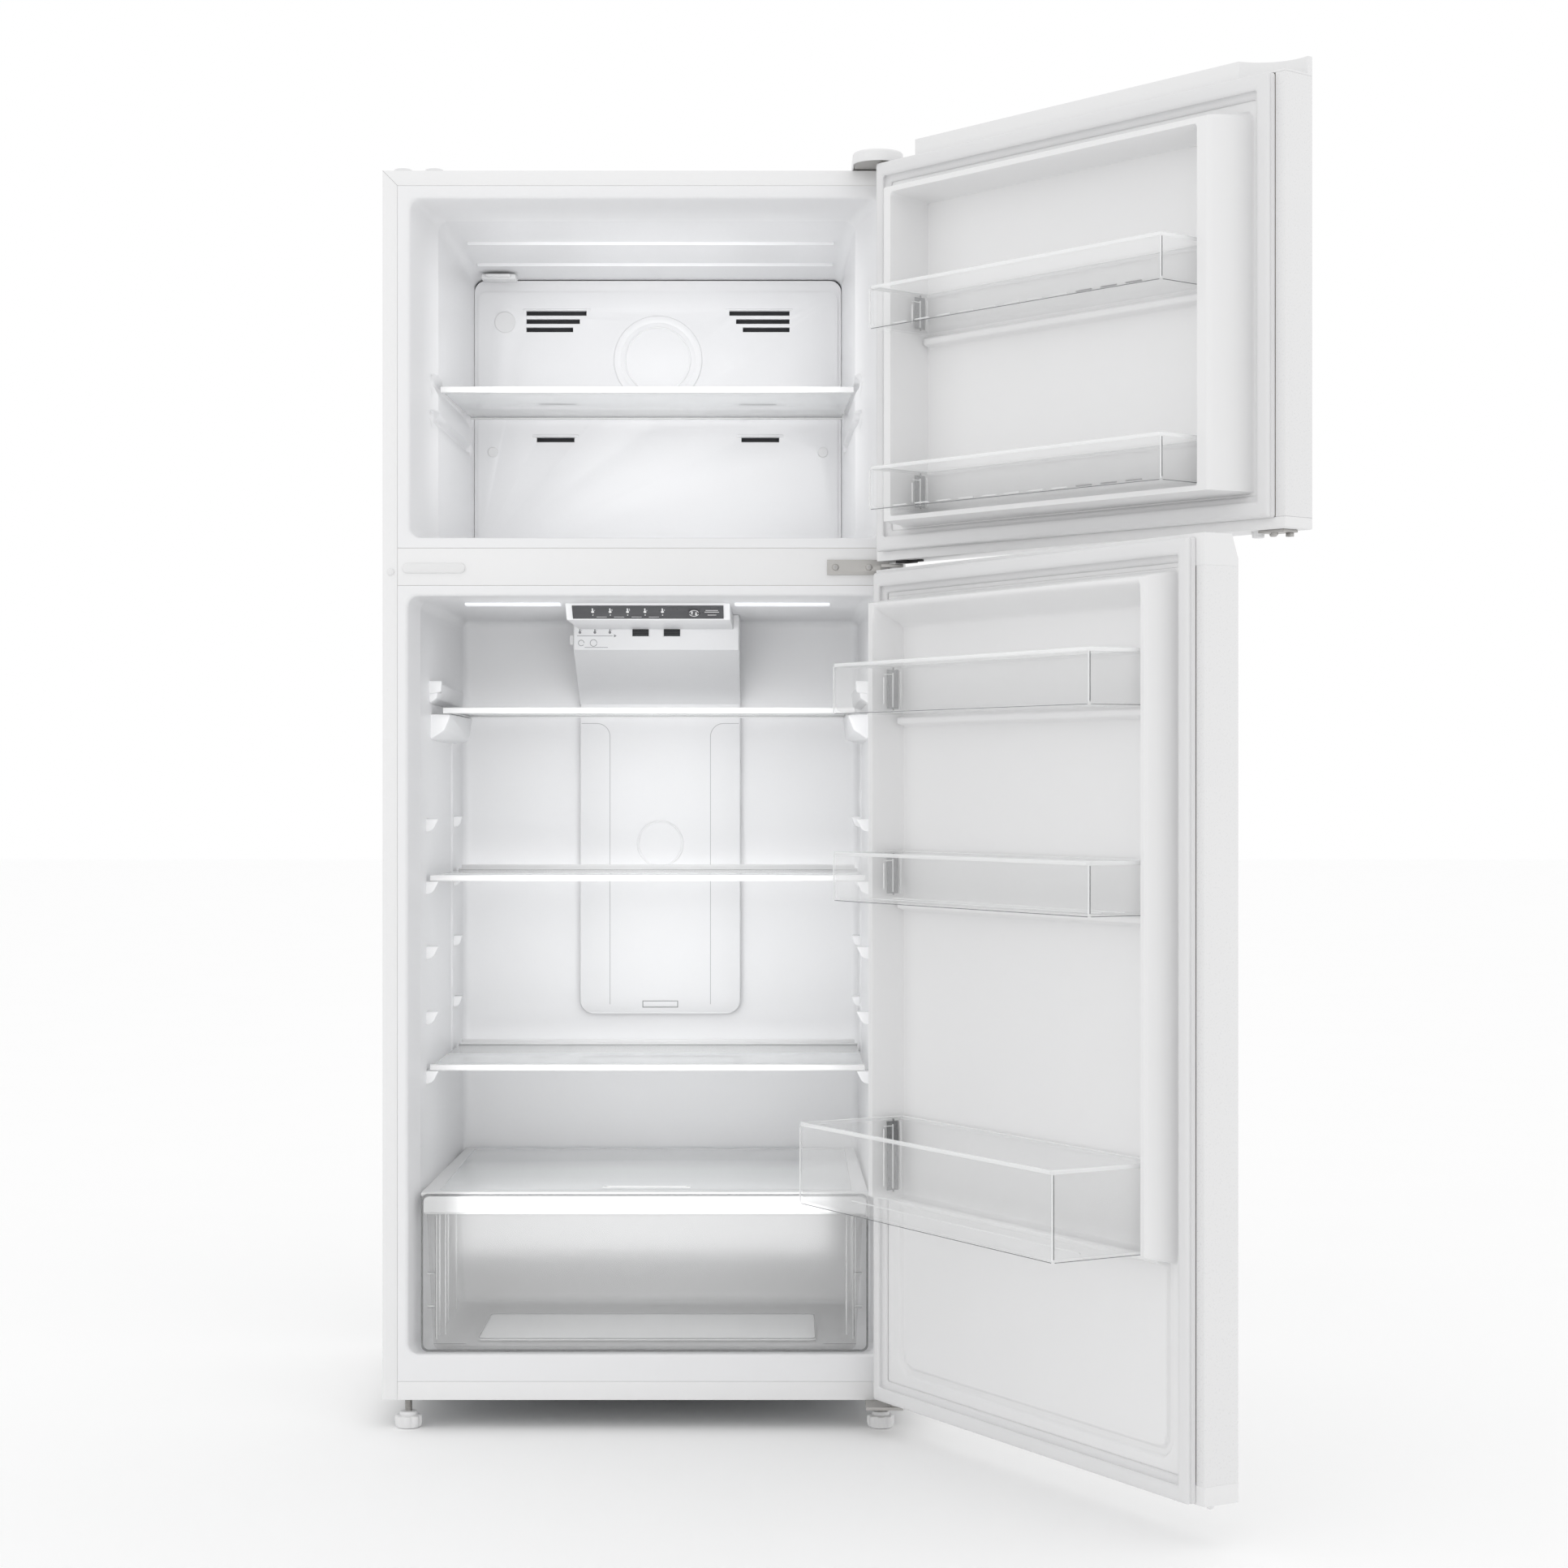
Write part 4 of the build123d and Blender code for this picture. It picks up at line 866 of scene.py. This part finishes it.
def disc_outline(u, v, radius, count=20):
    return [(u + radius * math.cos(2 * math.pi * i / count), v + radius * math.sin(2 * math.pi * i / count))
            for i in range(count)]


def arc_band(u, v, radius, width, start, end, count=12):
    """Outline of a curved band between two angles in degrees."""
    angles = [math.radians(start + (end - start) * i / count) for i in range(count + 1)]
    outer = [(u + (radius + width / 2) * math.cos(a), v + (radius + width / 2) * math.sin(a)) for a in angles]
    inner = [(u + (radius - width / 2) * math.cos(a), v + (radius - width / 2) * math.sin(a)) for a in angles]
    return outer + inner[::-1]


def thermometer(u, v, size, fill):
    """Outlines of a small thermometer: a stem, a bulb and level marks."""
    marks = [bar_outline(u, v + size * 0.25, size * 0.28, size * 1.1),
             disc_outline(u, v - size * 0.42, size * 0.34)]
    for i in range(fill):
        marks.append(bar_outline(u + size * 0.42, v + size * (0.1 + 0.28 * i), size * 0.26, size * 0.09))
    return marks


def control_panel():
    """Icons on the slanted panel and its button, and the notes on the duct's upper face."""
    marks = []
    for index, u in enumerate((-76, -52, -28, -4, 20)):
        marks += thermometer(u, 4.5, 6.2, 1 + index % 3)
        marks.append(disc_outline(u, -5.0, 0.9, 10))
    for u in (-64, -40, -16, 8):
        marks.append(bar_outline(u, -9.2, 14, 0.55))
    flat_marks("panel_icons", marks, lambda u, v, out: panel_place(u, v, 2.05 + out), "print_white")
    button = [arc_band(63.4, 0, 6.4, 0.8, 20, 160), arc_band(63.4, 0, 6.4, 0.8, 200, 340),
              bar_outline(60.6, 0.4, 1.6, 5.4), bar_outline(66.2, -0.4, 1.6, 5.4),
              [(59.0, 2.2), (62.2, 2.2), (60.6, 5.0)], [(64.6, -2.2), (67.8, -2.2), (66.2, -5.0)]]
    icon = flat_marks("button_icon", button, lambda u, v, out: panel_place(u, v, 3.02 + out), "print_white")
    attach(icon, "fridge_temp_button")
    flat_marks("panel_notes", [bar_outline(88, v, w, 0.9) for v, w in ((5, 17), (1.5, 20), (-5, 12))],
               lambda u, v, out: panel_place(u, v, 2.05 + out), "print_white")

    def duct_face(u, v, out):
        return (u, 381.98 - out, v)

    notes = []
    for index, u in enumerate((-112, -90, -68)):
        notes += thermometer(u, 1088, 6.0, 1 + index)
    notes += [bar_outline(-90, 1080.5, 52, 0.7), bar_outline(-88, 1098, 50, 1.2)]
    notes += [[(-62, 1082.6), (-58, 1080.5), (-62, 1078.4)]]
    notes += [arc_band(-110, 1070, 4.2, 0.8, 0, 320), arc_band(-92, 1070, 5.0, 0.8, 0, 350),
              bar_outline(-88, 1063.5, 34, 0.7)]
    flat_marks("duct_notes", notes, duct_face, "print_and_slot_shade_grey")


def duct_cover():
    """The duct's moulding: flat lower face with round corners, a slope, and a box at the top."""
    low, corner = 516, 20
    corner_top = low + corner
    heights = [low + corner * (1 - math.cos(math.pi / 2 * i / 8)) for i in range(9)]
    loops = []
    for z in heights + [700, 984, 1022, 1060, 1085, 1111]:
        rise = max(0.0, corner ** 2 - (corner_top - z) ** 2)
        narrow = corner - math.sqrt(rise) if z < corner_top else 0.0
        front = 523 - 141 * min(max((z - 984) / 76, 0.0), 1.0)
        half = 121.5 - narrow
        loops.append([(x, y, z) for x, y in rounded_loop((-half, half), (front, 539.6), (2.5, 0.5), 3)])
    from_faces("air_duct_moulding", stacked(loops), "cabinet", "liner_plastic",
               ("air_duct_cover",), smooth_angle=24)


def duct_details():
    """Air windows with frames and bars, the round blank, the finger slot and the pressed lines."""
    windows, z_range, edge = ((-35, -11), (11, 35)), (1080, 1091), 1.6
    shadows = [(window, (381.7, 383), z_range) for window in windows]
    blocks("duct_window_shadows", "cabinet", "dark_void", shadows, 0.2)
    frames = [((a - edge, b + edge), (381.0, 382.4), z)
              for a, b in windows for z in ((1078.6, 1080), (1091, 1092.4))]
    frames += [((a, a + edge), (381.0, 382.4), (1078.6, 1092.4)) for a in (-36.6, -11, 9.4, 35)]
    blocks("duct_window_frames", "cabinet", "liner_plastic", frames, 0.4)
    louvres = [(window, (381.3, 382.2), (z, z + 0.9)) for window in windows for z in (1082.4, 1085, 1087.6)]
    blocks("duct_window_bars", "cabinet", "fan_plastic", louvres, 0.2)
    disc = [(0, 35.4), (0.9, 34.6), (1.0, 33.4), (0.5, 32.6), (0.9, 31.8), (0.9, 30.0)]
    turned("duct_disc", [(disc, (0, 522.6, 773), (0, -1, 0))], "cabinet", "liner_plastic", count=64)
    blocks("duct_finger_slot", "cabinet", "seam_shadow",
           [((-27, 27), (522.4, 523.4), (525, 535.6))], 0.4)
    blocks("duct_finger_pad", "cabinet", "liner_plastic",
           [((-25.6, 25.6), (522.0, 523.4), (526.4, 534.2))], 0.4)
    bend, half_width = 20, 0.35
    angles = [math.pi / 2 * i / 8 for i in range(9)]
    path = [(76 + bend - bend * math.cos(a), 935 + bend * math.sin(a)) for a in angles]
    path = [(76, 530)] + path + [(119, 955)]
    points, faces = [], []
    for side in (-1, 1):
        for (u0, v0), (u1, v1) in zip(path, path[1:]):
            run = Vector((u1 - u0, v1 - v0)).normalized() * half_width
            shift = len(points)
            points += [(side * (u0 - run.y), 522.9, v0 + run.x), (side * (u0 + run.y), 522.9, v0 - run.x),
                       (side * (u1 + run.y), 522.9, v1 - run.x), (side * (u1 - run.y), 522.9, v1 + run.x)]
            faces.append((shift, shift + 1, shift + 2, shift + 3))
    from_faces("duct_groove_lines", (points, faces), "cabinet", "seam_shadow")


def crisper():
    """Clear drawer: rounded front panel with a frosted top band, tray with ribs, side clips."""
    half, low, high, front = 300.5, 100.6, 312.5, 15.0
    body = "crisper_drawer"

    def panel(grow, y):
        ring = rounded_loop((-half + grow, half - grow), (low + grow, high - grow),
                            (9.0 - grow / 2, 9.0 - grow / 2), 6)
        return [(x, y, z) for x, z in ring]

    rings = [panel(grow, front + out) for grow, out in
             ((2.4, 4), (0.4, 3.6), (0, 3), (0, 1), (0.6, 0.2), (1.8, 0), (3.2, 0), (4.6, 0.8))]
    from_faces("crisper_front", stacked(rings), body, "clear_plastic", (body,), smooth_angle=50)

    def tray(grow, z):
        share = (z - low) / (302 - low)
        wide = 284 + 10 * share - grow
        ring = rounded_loop((-wide, wide), (19.2 + grow, 398 + 6 * share - grow), (3.0, 12.0), 6)
        return [(x, y, z) for x, y in ring]

    outer = [tray(12, low), tray(5, low + 1), tray(1.6, low + 5), tray(0.2, low + 11), tray(0, 298)]
    rim = [tray(-3, 299), tray(-3, 302), tray(1, 302.4), tray(2.4, 301)]
    inner = [tray(2.4, low + 12), tray(4.4, low + 6), tray(13, low + 3)]
    from_faces("crisper_tray", stacked(outer + rim + inner), body, "clear_plastic", smooth_angle=50)

    edges = [((-half + 4, half - 4), (front + 0.2, front + 4.2), (high - 26.6, high - 25.2)),
             ((-half + 4, half - 4), (front + 3.8, front + 14), (high - 27.5, high - 26))]
    lines = []
    for side in (-1, 1):
        edges += [(mirrored(side, 279, 281), (front + 5, front + 7), (low + 16, high - 28)),
                  (mirrored(side, 271, 272.6), (front + 40, front + 42), (low + 16, high - 28))]
        edges += [(mirrored(side, 283, 285.4), (y, y + 3.2), (low + 8, 294)) for y in (92, 196, 300)]
        edges += [(mirrored(side, 283, 292), (front + 4, front + 10), (z, z + 2)) for z in (204, 160)]
        lines += [(mirrored(side, 281.2, 282.0), (front + 5, front + 6), (low + 18, high - 30)),
                  (mirrored(side, 270.6, 271.2), (front + 40, front + 41), (low + 18, high - 30)),
                  (mirrored(side, 281.4, 292), (front + 5, front + 6), (206.2, 207.0)),
                  (mirrored(side, 281.4, 292), (front + 5, front + 6), (158.6, 159.4)),
                  (mirrored(side, 240, 284), (front + 5, front + 6), (low + 9.4, low + 10.2)),
                  (mirrored(side, 298.8, 300.0), (front + 1.6, front + 2.4), (low + 14, high - 10))]
    lines.append(((-half + 6, half - 6), (front + 3.2, front + 4.0), (high - 26.2, high - 25.6)))
    blocks("crisper_edges", body, "clear_edge", edges, 0.5)
    # The dark lines are painted shade along the drawer's clear edges, clips and corners.
    blocks("crisper_lines", body, "clear_shade_line", lines, 0.2)

    # Dark outlines round the front panel and the floor panel: painted shade along clear edges.
    rings = [panel(grow, front + out) for grow, out in
             ((0.2, 2.0), (2.6, 2.0), (2.6, 3.4), (0.2, 3.4), (0.2, 2.0))]
    from_faces("crisper_front_outline", stacked(rings, False), body, "clear_shade_line")
    rings = []
    for grow, up in ((0, 5.2), (1.6, 5.2), (1.6, 5.8), (0, 5.8), (0, 5.2)):
        ring = rounded_loop((-231 + grow, 231 - grow), (82 + grow, 272 - grow), (9, 9), 5)
        rings.append([(x, y, low + up) for x, y in ring])
    from_faces("crisper_floor_outline", stacked(rings, False), body, "clear_shade_line")
    band = rounded_loop((-half + 3.6, half - 3.6), (high - 25, high - 3.4), (1.5, 7.0), 5)
    rings = [[(x, front + out, z) for x, z in band] for out in (1.0, 2.8)]
    from_faces("crisper_top_band", stacked(rings), body, "clear_edge")
    floor = rounded_loop((-231, 231), (82, 272), (10, 10), 5)
    inner = rounded_loop((-227, 227), (86, 268), (8, 8), 5)
    rings = [[(x, y, low + up) for x, y in ring] for ring, up in ((floor, 3.0), (floor, 4.6), (inner, 5.0))]
    from_faces("crisper_floor_panel", stacked(rings), body, "clear_edge")


def crisper_cover():
    """The crisper's glass cover: its frame is made thinner from below."""
    thinned = 4.6
    rim = refined("crisper_frame", 1.6)
    for vert in rim.data.vertices:
        if vert.co.z < 307 * MM:
            vert.co.z += thinned * MM
    refined("crisper_pane", 0.8)
    blocks("crisper_finger_ridge", "crisper_cover", "trim_plastic",
           [((-56, 56), (70, 72), (313.6, 314.6)), ((-56, 56), (80, 82), (313.6, 314.6)),
            ((-60, -54), (69, 83), (313.6, 314.6)), ((54, 60), (69, 83), (313.6, 314.6))], 0.4)


# ------------------------------------------------------------------ outside details
def seams():
    """Mitre lines of the folded front flange."""
    points, faces = [], []
    for side in (-1, 1):
        outline = [(side * 350, 1684), (side * 349.4, 1684), (side * 330, 1664.4), (side * 330, 1663.8)]
        faces.append(tuple(range(len(points), len(points) + len(outline))))
        points += [(x, -0.06, z) for x, z in outline]
    from_faces("flange_mitre_lines", (points, faces), "cabinet", "seam_shadow")


FOOT_RINGS = ((14.5, 0.2, 0.0), (16.6, 0.9, 1.0), (17.6, 1.8, 3.2), (18.4, 2.4, 7), (18.4, 2.4, 13),
              (17.8, 1.9, 15.6), (15.4, 0.8, 17), (12.2, 0, 17.2), (12.0, 0, 19.6), (11.2, 0, 21.4),
              (9.2, 0, 22.0), (5.2, 0, 22.1))


def lobed_ring(x, y, radius, depth, z, lobes=8, count=96):
    """A ring of points whose radius dips by a depth between its lobes."""
    points = []
    for i in range(count):
        angle = 2 * math.pi * i / count
        r = radius - depth * (0.5 - 0.5 * math.cos(lobes * angle)) ** 2
        points.append((x + r * math.cos(angle), y + r * math.sin(angle), z))
    return points


def feet():
    """Levelling feet: lobed knob, collar and a threaded stud."""
    y = 16
    thread = [(0, 4.9)]
    for turn in range(11):
        start = 1.0 + turn * 1.5
        thread += [(start, 4.2), (start + 0.4, 4.95), (start + 0.8, 4.95), (start + 1.2, 4.2)]
    thread += [(35.5, 4.9), (36, 4.2)]
    for body, x in (("left_foot", -317.0), ("right_foot", 317.0)):
        rings = [lobed_ring(x, y, radius, depth, z) for radius, depth, z in FOOT_RINGS]
        from_faces(body + "_knob", stacked(rings), body, "trim_plastic", (body,), smooth_angle=40)
        turned(body + "_stud", [(thread, (x, y, 22), (0, 0, 1))], body, "hinge_steel", count=28)


def hinge_details():
    """Screw heads, cross slots and bushings, and the hinge plates themselves."""
    middle = [(domed(2.8, 4.5), (x, -3, 1153), (0, -1, 0)) for x in (256, 301)]
    top = [(domed(3.4, 5.0), (x, y, 1688.2), (0, 0, 1)) for x, y in ((300, 16), (324, 44))]
    low = [(domed(3.4, 5.0), (x, 50, 35), (0, 0, -1)) for x in (308, 332)]
    turned("hinge_screw_heads", middle + top + low, "cabinet", "hinge_steel", ("hinge_screws",), count=24)
    slots = []
    for x in (256, 301):
        slots += [((x - 2.6, x + 2.6), (-5.95, -5.5), (1152.6, 1153.4)),
                  ((x - 0.4, x + 0.4), (-5.95, -5.5), (1150.4, 1155.6))]
    blocks("hinge_screw_crosses", "cabinet", "seam_shadow", slots, 0.1)
    ring = [(0, 9.2), (2.4, 9.2), (3, 8.4)]
    bushings = [(ring, (336, -36, 1154), (0, 0, 1)), (ring, (336, -36, 1150), (0, 0, -1))]
    turned("middle_hinge_bushings", bushings, "cabinet", "trim_plastic", count=36)
    for node, width in (("middle_hinge", 0.9), ("bottom_hinge", 0.9), ("top_hinge", 0.6),
                        ("top_hinge_cover", 0.8)):
        refined(node, width)


def blanking():
    """Long pill cover, round plug and two top caps on the side without hinges."""
    middle, reach, height = -281.5, 35.65, 1152
    loops = []
    for shrunk, out in ((0, 0), (0, -1.6), (0.6, -2.5), (1.6, -3.0), (3.0, -3.2)):
        radius = 6.85 - shrunk
        loop = []
        for cx, start in ((middle + reach, -math.pi / 2), (middle - reach, math.pi / 2)):
            for i in range(13):
                angle = start + math.pi * i / 12
                loop.append((cx + radius * math.cos(angle), out, height + radius * math.sin(angle)))
        loops.append(loop)
    from_faces("pill_cover", stacked(loops), "cabinet", "trim_plastic", ("blanking_covers",),
               smooth_angle=50)
    turnings = [(domed(2.6, 4.8, 0.4), (-339, 0, 1147), (0, -1, 0))]
    for x in (-326, -284):
        turnings.append(([(0, 13), (5, 12.8), (7, 11.6), (7.9, 9), (8, 4)], (x, 30, 1684), (0, 0, 1)))
    turned("round_covers", turnings, "cabinet", "trim_plastic", count=40)


# ------------------------------------------------------------------ back and machine room
def tube(name, route, radius, body, material):
    """A bent metal pipe through cabinet points."""
    curve = bpy.data.curves.new(name, "CURVE")
    curve.dimensions = "3D"
    curve.bevel_depth = radius * MM
    curve.bevel_resolution = 5
    curve.use_fill_caps = True
    spline = curve.splines.new("NURBS")
    spline.points.add(len(route) - 1)
    for point, place in zip(spline.points, route):
        point.co = (*at(*place), 1)
    spline.order_u = 3
    spline.use_endpoint_u = True
    holder = bpy.data.objects.new(name + "_line", curve)
    bpy.context.scene.collection.objects.link(holder)
    mesh = bpy.data.meshes.new_from_object(holder)
    bpy.data.objects.remove(holder)
    mesh.name = name
    return finish_piece(name, mesh, body, material)


def machine_room():
    """Pipes, the condenser's return bends and the screws of the rear covers."""
    refined("compressor", 2.0, segments=3)
    for node, width in (("drain_pan", 1.2), ("condenser_fan_motor", 0.8), ("condenser_fan", 0.5),
                        ("rear_cover", 0.5), ("power_inlet", 0.8), ("back_panel", 0.8),
                        ("base_frame", 0.6), ("rear_rollers", 0.8)):
        refined(node, width)
    tube("suction_pipe", [(-150, 500, 120), (-135, 490, 120), (-120, 480, 130), (-118, 470, 180),
                          (-116, 466, 230), (-110, 462, 255)], 4.0, "cabinet", "copper")
    tube("discharge_pipe", [(-150, 540, 100), (-130, 556, 100), (-100, 566, 92), (-72, 570, 80),
                            (-66, 572, 60), (-20, 575, 52), (20, 572, 52), (30, 566, 66)], 3.2, "cabinet",
         "copper")
    tube("process_pipe", [(-262, 520, 140), (-276, 524, 150), (-280, 530, 168), (-280, 532, 190)], 3.2,
         "cabinet", "copper")
    rows, rise = 4, 36
    for index in range(3 * rows):
        y, row = (480, 518, 556)[index // rows], index % rows
        z = 70 + rise * row
        x, out = (232, 12) if row % 2 == 0 else (28, -12)
        bend = [(x, y, z), (x + out, y, z + 4), (x + out * 1.2, y, z + rise / 2), (x + out, y, z + rise - 4),
                (x, y, z + rise)]
        tube("condenser_bend_%02d" % index, bend, 3.2, "cabinet", "fin_aluminium")
    places = [(x, z) for x in (-335, -120, 20, 240, 335) for z in (50, 252)]
    places += [(x, z) for x in (-340, 340) for z in (320, 620, 920, 1220, 1520, 1660)]
    places += [(x, 1668) for x in (-200, 0, 200)]
    screws = [(domed(2.0, 4.2), (x, 590, z), (0, 1, 0)) for x, z in places]
    turned("back_screws", screws, "cabinet", "hinge_steel", count=16)


def simple_refinements():
    """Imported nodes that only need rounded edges, and the foam behind the liners."""
    for node, width in (("outer_shell", 0.5), ("mullion_rail", 0.5), ("bottom_front_rail", 0.5),
                        ("evaporator_cover", 0.8), ("evaporator_coil", 0.2), ("evaporator_fan_motor", 0.8),
                        ("evaporator_fan", 0.5), ("control_box", 1.2), ("control_panel_face", 0.4),
                        ("freezer_temp_slider", 0.6), ("lamp_lens", 0.6)):
        refined(node, width)
    refined("fridge_temp_button", 0.4, "dark_panel")
    drawn_in("cabinet_insulation", 8.5)
    for body, z in (("freezer_door", (1171.4, 1681.6)), ("fridge_door", (72.4, 1109.6))):
        blocks(body + "_foam", body, "foam", [((-346.2, 347.8), (-59.6, -18.0), z)], 3.0,
               (body + "_insulation",))
        refined(body + "_skin", 0.3)
        refined(body + "_caps", 1.0)
    for name in SHELVES:
        refined(name + "_pane", 0.7)
        refined(name + "_trim", 1.0)


def shelf_details():
    """Rear lips and end caps that hold the glass in its trims."""
    for name in SHELVES:
        low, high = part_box(name + "_trim")
        x0, x1 = (low.x - ORIGIN.x) / MM, (high.x - ORIGIN.x) / MM
        y0, y1 = (low.y - ORIGIN.y) / MM, (high.y - ORIGIN.y) / MM
        z0, z1 = low.z / MM, high.z / MM
        parts = [((x0 + 6, x1 - 6), (y1 - 3.2, y1 - 0.4), (z1 - 1, z1 + 5)),
                 ((x0 + 3, x0 + 9), (y0 + 6, y1 - 6), (z0 + 0.3, z0 + 2.0)),
                 ((x1 - 9, x1 - 3), (y0 + 6, y1 - 6), (z0 + 0.3, z0 + 2.0))]
        if name == "freezer_shelf":
            parts = parts[:1]
        blocks(name + "_lips", name, "trim_plastic", parts, 0.7)


# ------------------------------------------------------------------ studio
def studio():
    """Even white surroundings, a pale floor, three soft lights and a fill in each opening."""
    world = bpy.data.worlds.new("studio")
    bpy.context.scene.world = world
    world.use_nodes = True
    background = world.node_tree.nodes["Background"]
    background.inputs["Color"].default_value = (1.0, 1.0, 1.0, 1)
    background.inputs["Strength"].default_value = 1.0
    bpy.context.scene.view_settings.view_transform = "Standard"

    ground = bpy.data.meshes.new("floor")
    size, sunk = 30.0, -0.0002
    corners = ((-size, -size), (size, -size), (size, size), (-size, size))
    ground.from_pydata([(x, y, sunk) for x, y in corners], [], [(0, 1, 2, 3)])
    floor = bpy.data.objects.new("studio_floor", ground)
    bpy.context.scene.collection.objects.link(floor)
    ground.materials.append(MATERIALS["studio_pale"])

    def area(name, place, aim, size_m, power):
        light = bpy.data.lights.new(name, "AREA")
        light.shape = "RECTANGLE"
        light.size, light.size_y = size_m
        light.energy = power
        lamp = bpy.data.objects.new(name, light)
        bpy.context.scene.collection.objects.link(lamp)
        lamp.location = place
        lamp.rotation_euler = (Vector(aim) - Vector(place)).to_track_quat("-Z", "Y").to_euler()
        return lamp

    area("key_light", (-2.6, -4.2, 3.2), (0.0, 0.0, 0.9), (3.0, 3.0), 4)
    area("front_fill", (0.6, -5.2, 1.4), (0.0, 0.0, 0.9), (4.0, 2.4), 3)
    area("top_light", (0.3, -0.8, 4.2), (0.0, 0.0, 0.8), (3.0, 3.0), 3)
    fills = (("freezer_fill", -12, 1410, (0.50, 0.34), 0.60, 115),
             ("fridge_fill", -12, 660, (0.50, 0.86), 1.35, 115),
             ("drawer_fill", 24, 205, (0.54, 0.17), 0.42, 150))
    for name, y, z, size_m, power, spread in fills:
        lamp = area(name, at(0, y, z), at(0, 500, z), size_m, power)
        lamp.visible_camera = False
        lamp.data.spread = math.radians(spread)


def camera():
    """One-point perspective view, level, looking straight into the cabinet."""
    data = bpy.data.cameras.new("photo_camera")
    data.sensor_width = 36.0
    data.lens = 68.457
    data.clip_end = 100.0
    view = bpy.data.objects.new("photo_camera", data)
    bpy.context.scene.collection.objects.link(view)
    view.location = at(187.28, -3989.7, 863.3)
    view.rotation_euler = (math.radians(90), 0, 0)
    bpy.context.scene.camera = view


# ------------------------------------------------------------------ build
camera()
studio()
simple_refinements()
freezer_liner()
fridge_liner()
shelf_brackets()
shelf_details()
evaporator_details()
control_panel()
duct_cover()
duct_details()
crisper()
crisper_cover()
for door_body in DOORS:
    door_liner(door_body)
    gasket(door_body)
door_extras()
FREEZER_BIN = (DOOR_RIGHT - 602, DOOR_RIGHT - 103)
FRIDGE_BIN = (DOOR_RIGHT - 627, DOOR_RIGHT - 71)
bin_piece("freezer_bin_upper", FREEZER_BIN, 107.0, (1443.0, 1498.0), True)
bin_piece("freezer_bin_lower", FREEZER_BIN, 107.0, (1212.6, 1268.0), True)
bin_piece("fridge_bin_upper", FRIDGE_BIN, 110.0, (953.0, 1018.0), False)
bin_piece("fridge_bin_middle", FRIDGE_BIN, 110.0, (713.0, 776.0), False)
bin_piece("fridge_bin_lower", FRIDGE_BIN, 160.0, (327.0, 431.0), False)
seams()
feet()
hinge_details()
blanking()
machine_room()
for node_name, node in NODES.items():
    node.data.materials.clear()
    node.data.materials.append(MATERIALS[SLOT_OF[node_name]])
